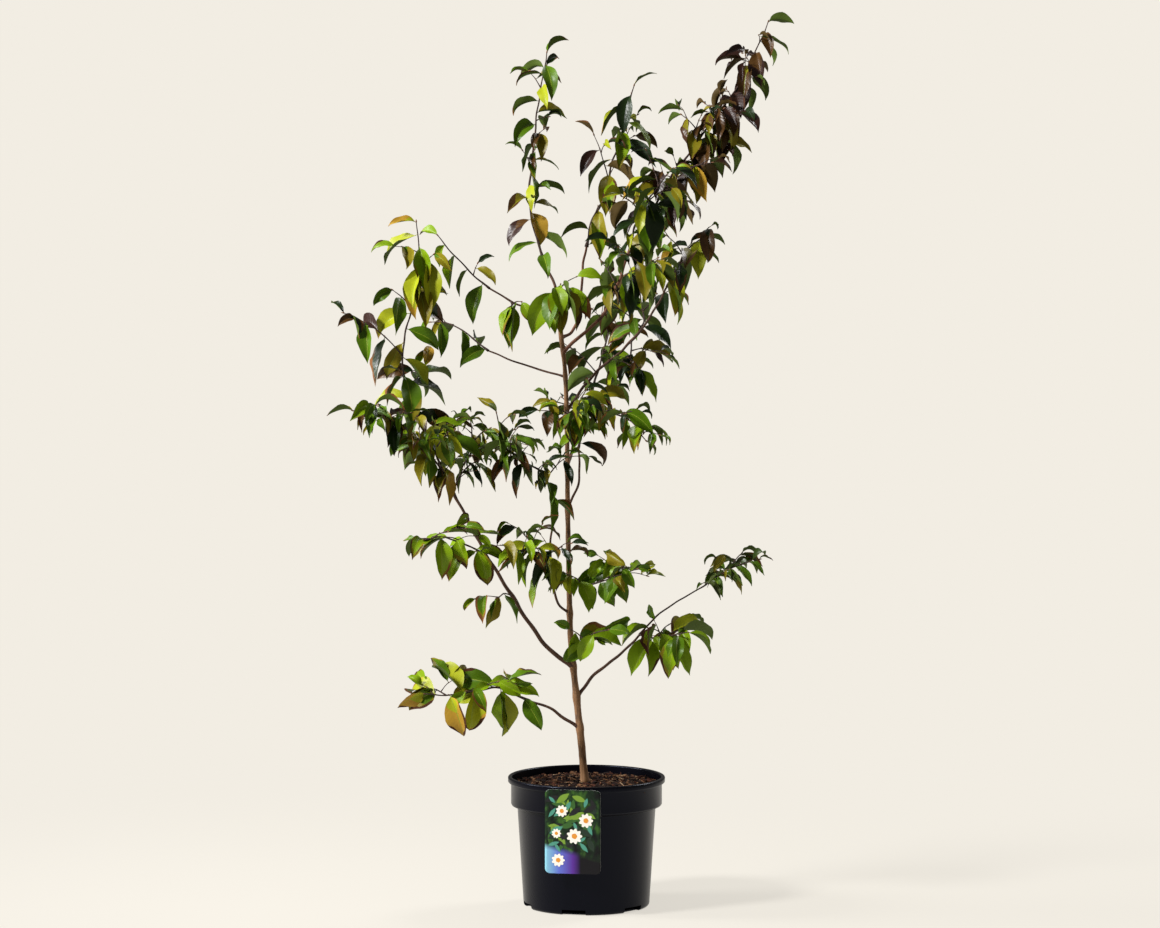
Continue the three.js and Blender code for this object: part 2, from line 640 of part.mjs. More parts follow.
function twigCurve(stem, at, reach) {
  const foot = onAxis(stem.curve, stem.steps, at);
  const middle = foot.clone().addScaledVector(reach, 0.5);
  middle.z += TWIG_ARCH * reach.length();
  return curveThrough([foot, middle, foot.clone().add(reach)]);
}

// Twigs leave the stem all round it and grow shorter towards its tip
function twigReaches(mass, stem) {
  const random = numbersFrom(mass.seed);
  const reaches = (mass.spurs ?? []).map(([at, ...reach]) => ({ at, reach: point(reach) }));
  const start = 360 * random();
  for (let index = 0; index < mass.twigs; index += 1) {
    const at = TWIG_FIRST + (TWIG_SPREAD * (index + random())) / mass.twigs;
    const bearing = (start + index * TWIG_TURN + 30 * random()) * RADIANS;
    const length = mass.twig * (1.2 - 0.5 * at) * (0.85 + 0.3 * random());
    const reach = new THREE.Vector3(Math.cos(bearing), Math.sin(bearing), TWIG_RISE)
      .addScaledVector(stem.getTangentAt(at), TWIG_AHEAD)
      .setLength(length);
    reaches.push({ at, reach });
  }
  return reaches;
}

function massSkeleton(mass) {
  const parent = limbs.get(mass.on);
  const stem = seated(parent, mass.at, mass.route, taper(mass.foot, STEM_TIP_RADIUS), TWIG_SIDES, STEM_STEP);
  if (!isClear(stem.solid, mass.name)) {
    throw new Error(`the stem of ${mass.name} touches a neighbour`);
  }
  const axes = [{ ...stem, bare: mass.bare, seed: mass.seed + LEAF_SEED }];
  const radius = taper(TWIG_FOOT_RADIUS, TWIG_TIP_RADIUS);
  twigReaches(mass, stem.curve).forEach(({ at, reach }, index) => {
    const curve = twigCurve(stem, at, reach);
    const solid = solidFrom(roundLimb(curve, radius, TWIG_SIDES, TWIG_STEPS, false));
    if (isClear(solid, mass.name)) {
      const seed = mass.seed + LEAF_SEED * (index + 2);
      axes.push({ curve, steps: TWIG_STEPS, bare: TWIG_BARE, seed, solid });
    }
  });
  return axes;
}

// The largest piece of a fused mass, with what it may have sealed inside filled
function soundBody(solid) {
  const pieces = solid.decompose();
  return pieces.reduce((best, piece) => (piece.volume() > best.volume() ? piece : best));
}

function massSolid(mass, axes) {
  const leaves = [];
  const meets = (solid, other) => other.box.intersectsBox(reachBox(solid, 0))
    && solid.minGap(other.solid, 1) === 0;
  const standsFree = (solid) => isClear(solid, mass.name)
    && !leaves.some((other) => meets(solid, other));
  for (const axis of axes) {
    for (const leaf of leavesAlong(axis, mass)) {
      const solid = LEAF_TURNS.map((turn) => leafSolid(leaf, turn)).find(standsFree);
      if (solid) {
        leaves.push({ solid, box: reachBox(solid, 0) });
      }
    }
  }
  const pieces = [...axes.map((axis) => axis.solid), ...leaves.map((leaf) => leaf.solid)];
  return soundBody(wasm.Manifold.union(pieces).simplify(0.02));
}

function material(name, colour, roughness) {
  return new THREE.MeshStandardMaterial({ name, color: colour, roughness, metalness: 0 });
}

const group = new THREE.Group();
group.name = 'potted_stewartia';

function addMesh(name, geometry, surface) {
  const mesh = new THREE.Mesh(geometry, surface);
  mesh.name = name;
  group.add(mesh);
}

function addPot() {
  const pot = potSolid();
  const soil = soilSolid();
  const card = cardGeometry();
  addMesh('pot', geometryFrom(pot), material('black plastic', COLOURS.pot, 0.45));
  addMesh('soil', geometryFrom(soil), material('compost', COLOURS.soil, 1));
  addMesh('plant_card', card, material('printed card', COLOURS.card, 0.4));
  addObstacle('pot', pot);
  addObstacle('soil', soil);
  addObstacle('plant_card', solidFrom(card));
}

function addLimb(name, limb, surface) {
  limbs.set(name, limb);
  addObstacle(name, limb.solid);
  addMesh(name, geometryFrom(limb.solid), surface);
}

function addTrunkAndBoughs() {
  const curve = curveThrough(TRUNK_ROUTE.map(point));
  const steps = stepsFor(curve, TRUNK_STEP);
  const solid = solidFrom(roundLimb(curve, trunkRadius, TRUNK_SIDES, steps, true));
  const grown = grownLimb(curve, trunkRadius, TRUNK_SIDES, TRUNK_STEP);
  addLimb('trunk', { curve, steps, solid, grown }, material('trunk bark', COLOURS.trunk, 0.85));
  const bark = material('bough bark', COLOURS.bough, 0.85);
  for (const bough of BOUGHS) {
    const radiusAt = taper(bough.foot, bough.tip);
    const limb = seated(limbs.get('trunk'), bough.at, bough.route, radiusAt, BOUGH_SIDES, BOUGH_STEP);
    limb.grown = grownLimb(limb.curve, radiusAt, BOUGH_SIDES, BOUGH_STEP);
    if (!isClear(limb.solid, bough.name)) {
      throw new Error(`${bough.name} touches a neighbour`);
    }
    addLimb(bough.name, limb, bark);
  }
}

function leafColour(mass) {
  const middle = mass.route[0];
  if (middle[2] > 1000 && middle[0] > 60) {
    return COLOURS.bronzeLeaves;
  }
  return middle[2] > 900 ? COLOURS.highLeaves : COLOURS.lowLeaves;
}

function addMasses() {
  const skeletons = MASSES.map((mass) => {
    const axes = massSkeleton(mass);
    axes.forEach((axis) => addObstacle(mass.name, axis.solid));
    return axes;
  });
  MASSES.forEach((mass, index) => {
    const solid = massSolid(mass, skeletons[index]);
    addObstacle(mass.name, solid);
    addMesh(mass.name, geometryFrom(solid), material(`${mass.name} leaves`, leafColour(mass), 0.6));
  });
}

addPot();
addTrunkAndBoughs();
addMasses();

export default group;
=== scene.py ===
import json
import math
import random

import bmesh
import bpy
import numpy as np
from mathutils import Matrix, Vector, noise


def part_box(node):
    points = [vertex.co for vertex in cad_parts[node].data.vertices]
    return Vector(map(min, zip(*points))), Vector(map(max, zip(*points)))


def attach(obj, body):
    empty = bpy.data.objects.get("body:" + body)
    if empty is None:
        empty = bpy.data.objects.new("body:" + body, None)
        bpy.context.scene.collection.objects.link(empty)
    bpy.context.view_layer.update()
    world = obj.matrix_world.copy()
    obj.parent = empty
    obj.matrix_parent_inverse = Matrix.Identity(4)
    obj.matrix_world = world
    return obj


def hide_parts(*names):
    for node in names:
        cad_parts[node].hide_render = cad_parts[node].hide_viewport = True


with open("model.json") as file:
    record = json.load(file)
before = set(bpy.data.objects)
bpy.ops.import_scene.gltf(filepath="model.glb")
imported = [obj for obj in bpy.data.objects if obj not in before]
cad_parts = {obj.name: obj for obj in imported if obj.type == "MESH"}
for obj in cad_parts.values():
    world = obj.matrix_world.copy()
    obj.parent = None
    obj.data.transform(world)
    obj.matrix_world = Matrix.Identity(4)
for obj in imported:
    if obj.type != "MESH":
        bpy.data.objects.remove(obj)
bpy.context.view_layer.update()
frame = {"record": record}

# The looks of a young Japanese stewartia in its nursery pot.
# Shapes are worked out in millimetres and turned into metres where a mesh is made.
MM = 0.001
UP = np.array([0.0, 0.0, 1.0])
NEAR = 0.0005
LIMB_SPANS = 200

# Pot
POT_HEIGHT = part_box("pot")[1].z / MM
LIP_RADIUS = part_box("pot")[1].x / MM
LIP_DEPTH = 10
LIP_ROUND = 2.4
COLLAR_RADIUS = LIP_RADIUS - 5
COLLAR_FOOT = POT_HEIGHT - LIP_DEPTH - 36
COLLAR_STEP = 5
SHOULDER_RADIUS = LIP_RADIUS - 15
BOTTOM_RADIUS = LIP_RADIUS - 25.5
POT_BEVEL = 6
POT_WALL = 1.8
POT_BASE = 2.4
POT_SIDES = 144
POT_EDGE = 35
COLLAR_EDGE = 1.2
COLLAR_RIM = 1
WELD = 0.01
DRAIN_SLOTS = 6
DRAIN_SLOT_WIDTH = 40
DRAIN_SLOT_HEIGHT = 9
DRAIN_SLOT_REACH = 92
DRAIN_SLOT_DEPTH = 15
DRAIN_SLOT_TURN = -102

# Compost
SOIL_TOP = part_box("soil")[1].z / MM
SOIL_EDGE_TOP = SOIL_TOP - 3.5
SOIL_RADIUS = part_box("soil")[1].x / MM
SOIL_LUMP = 2.2
SOIL_LUMP_SPAN = 17
SOIL_CRUMB_SPAN = 5.5
SOIL_CRUMB = 0.7
SOIL_FOOT = DRAIN_SLOT_HEIGHT + 1
SOIL_SETTLED = 0.6

# Shreds on the compost. A fibre's sizes are all in millimetres, and the width of a chip is a
# share of its length. The kinds are places in the list of crumbs below.
CHIPS = 900
FIBRES = 0.3
FIBRE_SIZES = dict(length=(10, 24), width=(0.7, 1.5), thick=(0.5, 0.9), kinds=(1, 2, 3))
CHIP_SIZES = dict(length=(4, 13), width=(0.25, 0.7), thick=(1, 3), kinds=(0, 0, 1, 2))
CHIP_SLOPE = 0.35
CHIP_ROLL = 0.5
CHIP_CORNERS = ((0.7, 1), (0.6, 1))
SOIL_RINGS = 56
SOIL_SIDES = 150
SOIL_CRUMBS = [(0.3, (10, 6, 5)), (0.5, (34, 21, 15)), (0.68, (60, 38, 26))]
CHIP_CRUMBS = {
    "dark_chip": [(0.3, (14, 8, 6)), (0.7, (42, 24, 18))],
    "red_chip": [(0.3, (46, 24, 17)), (0.7, (84, 46, 31))],
    "tan_chip": [(0.3, (80, 54, 36)), (0.7, (130, 92, 64))],
    "pale_fibre": [(0.3, (140, 112, 84)), (0.7, (188, 160, 128))],
}

# The printed card on the front of the pot
CARD_WIDTH = 92
CARD_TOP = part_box("plant_card")[1].z / MM
CARD_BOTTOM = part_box("plant_card")[0].z / MM
CARD_HEIGHT = CARD_TOP - CARD_BOTTOM
CARD_CORNER = 8
CARD_BEARING = math.radians(-10)
CARD_THICK = 0.8
CARD_GAP = 0.3
CARD_BOW = 0.64
CARD_STEPS = 24
CARD_BAND_SLANT = 0.16
CARD_LEAVES = 64
CARD_LEAF_AREA = ((-37, 37), (0.3, 0.9))
CARD_LEAF_LENGTHS = (11, 27)
CARD_LEAF_SLIMNESS = (0.26, 0.42)
CARD_PETALS = dict(petals=9, depth=0.26)
CARD_EYE = dict(petals=5, depth=0.1)
CARD_EYE_SIZE = 0.36
CARD_FLOWERS = (((-18, 103), 10), ((22, 88), 12), ((3, 62), 13), ((-27, 66), 8), ((-24, 22), 11))
PRINT_RISE = 0.12
INKS = {
    "ink_leaf": (44, 88, 28), "ink_deep_leaf": (14, 38, 22), "ink_lime_leaf": (112, 146, 44),
    "ink_night": (8, 10, 14), "ink_teal_leaf": (70, 140, 120), "ink_petal": (238, 232, 222),
    "ink_eye": (216, 140, 40),
}

# Trunk
TRUNK_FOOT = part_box("trunk")[0].z / MM
TRUNK_SUNK = 3
TRUNK_FLARE_RADIUS = 8.5
TRUNK_FLARE_HEIGHT = 22
TRUNK_LOW_RADIUS = 6.3
TRUNK_MID_RADIUS = 4.3
TRUNK_TOP_RADIUS = 3.2
TRUNK_MID = 0.45
TRUNK_ROUTE = [
    (-3, 0, TRUNK_FOOT), (-9, 1, 276), (-16, 2, 342), (-26, 0, 442), (-29, -2, 550),
    (-31, 0, 658), (-32, 2, 773), (-35, 0, 881), (-42, -2, 947), (-44, -3, 985),
]
TRUNK_SIDES = 32
TRUNK_STEP = 2.5

# Relief of bark: its depth as a share of the radius, and its grain
TRUNK_RELIEF = (0.1, 3.4)
BOUGH_RELIEF = (0.09, 2.2)
TWIG_RELIEF = (0.08, 1.6)
STREAK = 7
FLAKE = 0.5
FLAKES_APART = 40
JOINT_SWELL = 0.22
JOINT_REACH = 9

# Boughs
BOUGH_SIDES = 16
BOUGH_STEP = 3
BOUGH_SWAY = 0.8
COLLAR_SWELL = 0.55
COLLAR_REACH = 7

# Twigs and leaves
STEM_TIP_RADIUS = 0.8
TWIG_RADII = (1.1, 0.6)
TWIG_SIDES = 8
TWIG_STEP = 4
TWIG_TURN = 137.5
TWIG_STRAY = 30
TWIG_SIZES = (0.85, 1.15)
TWIG_LONGEST = 1.2
TWIG_SHORTENING = 0.5
TWIG_RISE = 0.35
TWIG_AHEAD = 0.5
TWIG_ARCH = 0.08
TWIG_BARE = 0.3
TWIG_FIRST = 0.15
TWIG_SPREAD = 0.75
FINE_LAST = 0.94
FINE_AHEAD = 0.6
FINE_RISE = (-0.5, 0.8)
FINE_LENGTHS = (18, 42)
FINE_RADII = (0.75, 0.45)
FINE_LEAF = 0.8
FINE_GAP = 15
FINE_HANG = 0.5
FINE_BARE = 0.5
FINE_DRYNESS = 0.4
SWAY = 0.7
SWAY_WAVES = ((58, (1, 0.4, 0.2)), (37, (-0.3, 0.9, 0.2)))
SWAY_EASE = 20
BUD_LENGTH = 4.5
BUD_RADIUS = 1.0
BUD_SIDES = 6
BUD_SHAPE = ((0, 0.7), (0.25, 1), (0.55, 0.85), (0.8, 0.45), (1, 0.08))
BUD_SIZES = (0.6, 1)
BUD_RISE = 0.6
BUD_LEAN = 0.7
END_BUD = 1.3
LEAF_SWING = 34
LEAF_ROLL = 55
LEAF_LEAN = 0.5
FRONT_BEARING = math.radians(-90)
FRONT_DROP = 25
LAST_LEAF_LIFT = 50
LEAF_SAG = 20
LEAF_LEVEL_RISE = 30
LEAF_HANG_DROP = 60
LEAF_BEND = 70
LEAF_HANG_STIFFNESS = 18
LEAF_STEEPEST = -95
LEAF_SIZES = (0.8, 1.2)
LAST_LEAF_SIZE = 0.65
LEAF_SEED = 7919
LEAF_STRAY = 20
STRAY_SIZES = (0.92, 1.14)
LEVEL_AXIS = 0.6
UPRIGHT_AXIS = 0.05
NEAR_TIP = 0.999

# The blade of a leaf: its rows from root to tip, and its columns from edge to edge
LEAF_WIDTH = 0.39
LEAF_ARCH = 10
LEAF_ROWS = 16
ROW_CROWDING = 0.65
LEAF_COLUMNS = (-1, -0.72, -0.36, -0.035, 0.035, 0.36, 0.72, 1)
LEAF_STALK = 0.06
STALK_HALF = 0.7
TIP_HALF = 0.15
LEAF_THICK = 0.35
LEAF_RIM = 0.06
LEAF_EDGE = 100
VEINS = 62
VEIN_SLANT = -0.16
LEAF_TOOTH = 0.008
BASE_POWER = 1.0
TIP_POWER = 1.35

# How leaves differ, from the least to the most, with drops and rolls in degrees and bends,
# folds and turns in radians
WIDTHS = (0.92, 1.08)
BENDS = (-0.55, 0.35)
FOLDS = (0.25, 0.85)
TIP_ROLLS = (-25, 25)
HOOK_DROPS = (-20, 30)
HOOK_TURNS = (-0.6, 0.6)
EDGE_WAVES = (1.5, 3)
PHASES = (0, 6)
CURLS = (0.3, 1.2)
LEAST_BEND = 0.05

# A leaf's roll sets in along its first rows
ROLL_AT_FOOT = 0.3
ROLL_GROWTH = 3

# The hooked part of a leaf, and how far down its length it falls
HOOK_FROM = 0.68
HOOK_POWER = 1.5
FALL_POWER = 0.8

# What curling adds to a dry leaf
DRY_FALLS = (-30, 60)
DRY_WAVES = (4, 9)
DRY_TURNS = (-0.9, 0.9)
DRY_WAVE = 0.6
DRY_BEND = 1.7
DRY_NARROWING = 0.45
EDGE_LIFT = 0.09
DRY_EDGE_LIFT = 0.25

# Colours, red, green and blue from 0 to 255
LEAF_TINTS = {
    "bright": (114, 142, 14),
    "green": (76, 106, 14),
    "deep": (24, 42, 9),
    "olive": (122, 112, 22),
    "lime": (150, 156, 28),
    "bronze": (76, 50, 18),
    "maroon": (44, 22, 14),
    "gold": (168, 132, 44),
    "grey_green": (72, 82, 38),
}
UNDER_TINTS = {"green_under": (74, 92, 30), "bronze_under": (76, 60, 28)}
RIB_TINTS = {"rib": (132, 146, 44)}
SCORCH_TINTS = {"scorch": (70, 40, 20), "dry": (122, 78, 40)}
DARK_TINTS = ("bronze", "maroon")
TURNING_TINTS = {
    "bright": "olive", "green": "olive", "deep": "bronze", "olive": "bronze", "lime": "gold",
    "bronze": "maroon", "maroon": "maroon", "gold": "olive", "grey_green": "olive",
}
PLAIN_TINTS = ("deep", "bronze", "maroon", "grey_green")
LEAF_ROUGHNESS = ((LEAF_TINTS, 0.36), (UNDER_TINTS, 0.62), (RIB_TINTS, 0.5), (SCORCH_TINTS, 0.7))
PLASTIC_TINTS = [(0.3, (3, 3, 7)), (0.75, (5, 4, 10))]

# Bark, from its cracks to its ridges
TRUNK_BARK = [(0.34, (44, 27, 18)), (0.5, (130, 94, 60)), (0.66, (192, 152, 104))]
DARK_BARK = [(0.32, (40, 26, 20)), (0.5, (88, 60, 44)), (0.68, (142, 104, 74))]
WARM_BARK = [(0.34, (48, 28, 20)), (0.5, (112, 70, 48)), (0.66, (166, 116, 82))]
TWIG_BARK = [(0.3, (34, 24, 22)), (0.5, (62, 42, 34)), (0.7, (100, 70, 52))]
BUD_SKIN = [(0.3, (70, 46, 34)), (0.5, (112, 74, 48)), (0.7, (150, 104, 66))]

# Boughs whose bark is young and reddish
WARM_BOUGHS = ("middle_leader", "right_leader")

# What share of the sprays has each tint
SPRAYS = {
    "fresh": {"bright": 6, "green": 4, "lime": 0.5, "olive": 0.5},
    "fresh_green": {"bright": 3, "green": 5, "deep": 2, "olive": 1},
    "mixed": {"green": 4, "bright": 3, "deep": 4, "olive": 2.5, "bronze": 1, "lime": 1.5},
    "turning": {
        "green": 5, "olive": 2, "deep": 3, "bronze": 0.7, "maroon": 0.6, "bright": 2.5, "lime": 1,
    },
    "turning_green": {"deep": 3, "green": 4, "bright": 2, "olive": 3, "maroon": 0.7, "lime": 1.2},
    "deep": {"deep": 6, "green": 3, "olive": 2.5, "lime": 2, "bright": 1.2, "maroon": 1},
    "leader": {"olive": 5, "green": 3, "lime": 1.5, "bronze": 2, "deep": 1},
    "bronzed": {"maroon": 5, "bronze": 3, "deep": 2.5, "olive": 3, "lime": 0.6},
    "dusky": {"grey_green": 5, "green": 4, "deep": 2, "olive": 1, "bronze": 1},
}
ODD_LEAF = 0.5

# What share of the leaves has turned from the tip, and how far back from it
TURNED_LEAVES = {
    "fresh": 0.07, "fresh_green": 0.12, "mixed": 0.3, "turning": 0.4, "turning_green": 0.4,
    "deep": 0.35, "leader": 0.6, "bronzed": 0.6, "dusky": 0.25,
}
TURNED_TIP = (-0.2, 0.7)

# The brown parts of a leaf: the share in the lighter brown, how far a brown tip reaches back,
# and the most steps of the leaf's rows by which its edge may vary. The rib takes in the
# faces within RIB_STEPS of the middle.
DRY_SHARE = 0.3
SCORCH_REACH = (0.05, 0.3)
BLUSH_STEPS = 3
MARGIN_STEPS = 5
EDGE_STEPS = 7
RIB_STEPS = 0.1

# The one gold leaf hangs with its face to the viewer
GOLD_LEAF = dict(
    heading=math.radians(-70), rise=-40, fall=-92, roll=8, length=66, wide=0.5, tint="gold",
)

# Floor, light and camera
CREAM = (242, 237, 227)
FLOOR_TINT = (205, 200, 190)
FLOOR_RADIUS = 1.7
FLOOR_FADE = {"From Min": 0.1, "From Max": 1.6, "To Min": 0.7}
CAMERA_PLACE = (-0.010764, -7.5, 1.341)
CAMERA_PITCH = 90 - 4.627
CAMERA_LENS = 141.79
SENSOR_WIDTH = 36
FILL_LIGHT = 0.22

# Lamps, each with its name, place, size and power
LAMP_AIM = Vector((0, 0, 0.75))
LAMPS = (
    ("key", (-4.3, -2.7, 4.2), 1.1, 520),
    ("side", (-3.5, 0.0, 2.2), 1.2, 130),
    ("rim", (2.8, 2.2, 3.6), 1.4, 120),
)


def bough(name, at, foot, tip, *route):
    return dict(name=name, at=at, foot=foot, tip=tip, route=route)


def foliage(name, on, at, **ways):
    """A mass of leaves, which has the usual ways where it gives no others."""
    return {**USUAL_WAYS, "name": f"{name}_foliage", "on": on, "at": at, **ways}


# Boughs, each with its name, the share of the trunk's length where it leaves, the radii of its
# foot and tip, and the places on its way
BOUGHS = [
    bough("low_left_bough", 0.114, 3.0, 1.9, (-39, -9, 315), (-60, -18, 331), (-93, -30, 345)),
    bough("low_right_bough", 0.18, 3.0, 1.9, (14, 18, 383), (56, 36, 414), (89, 51, 445)),
    bough(
        "left_bough", 0.247, 3.8, 2.1, (-57, -12, 424), (-91, -24, 468), (-127, -37, 527),
        (-167, -55, 594), (-200, -72, 659), (-227, -82, 715),
    ),
    bough(
        "inner_left_bough", 0.36, 2.1, 1.6, (-47, -12, 506), (-59, -27, 552), (-58, -42, 619),
        (-53, -51, 666),
    ),
    bough("inner_right_bough", 0.583, 2.1, 1.6, (-16, -6, 695), (-11, -12, 725), (-14, -18, 761)),
    bough("back_bough", 0.664, 2.5, 1.8, (-26, 40, 746), (-12, 85, 785), (6, 125, 833)),
    bough(
        "right_mid_bough", 0.79, 2.5, 1.7, (12, 24, 880), (58, 45, 918), (98, 66, 962), (134, 82, 1022),
    ),
    bough("mid_left_bough", 0.862, 1.8, 1.3, (-77, 12, 889), (-116, 21, 901), (-162, 30, 919)),
    bough(
        "right_leader", 0.915, 3.0, 2.2, (-11, -12, 945), (25, -18, 978), (50, -12, 1029),
        (73, 0, 1093),
    ),
    bough(
        "middle_leader", 0.945, 2.6, 1.9, (-22, 18, 953), (-11, 30, 987), (-7, 36, 1044),
        (-1, 36, 1090),
    ),
    bough("upper_left_bough", 0.965, 1.9, 1.4, (-80, -6, 985), (-121, -12, 1001), (-158, -18, 1024)),
    bough("left_leader", 1, 2.7, 1.9, (-47, -4, 1008), (-57, -3, 1040), (-71, 0, 1071)),
]

# Masses of leaves, each with its name, the limb that carries the stem, and the share of the
# limb's length where it does. foot is the radius of the stem's foot, leaf the length of a leaf
# and gap the space between leaves. hang is 0 for level leaves and 1 for hanging ones. fan is
# the bearing that leaves on an upright stem spread along, and bare the leafless share of the
# stem. twigs branch by the seeded rule, each about twig long, and a spur is a twig given as
# (share of the stem, side, depth, height). fine is the number of finer twigs on each 100 mm.
# tints names the colours of the leaves, scorch is the share of leaves with a brown tip, and
# curl how far dry leaves roll up. tilt is how far the leaves of a spray turn to face the
# viewer, in degrees, and front the share of leaves that hang forward with their upper side to
# the viewer. wide is the width of a leaf as a share of its length, and gold the number of the
# stem's gold leaf.
USUAL_WAYS = dict(
    fan=0, bare=0.1, twigs=0, front=0, tilt=0, scorch=0.3, curl=0.15, wide=LEAF_WIDTH, spurs=(), gold=None,
)
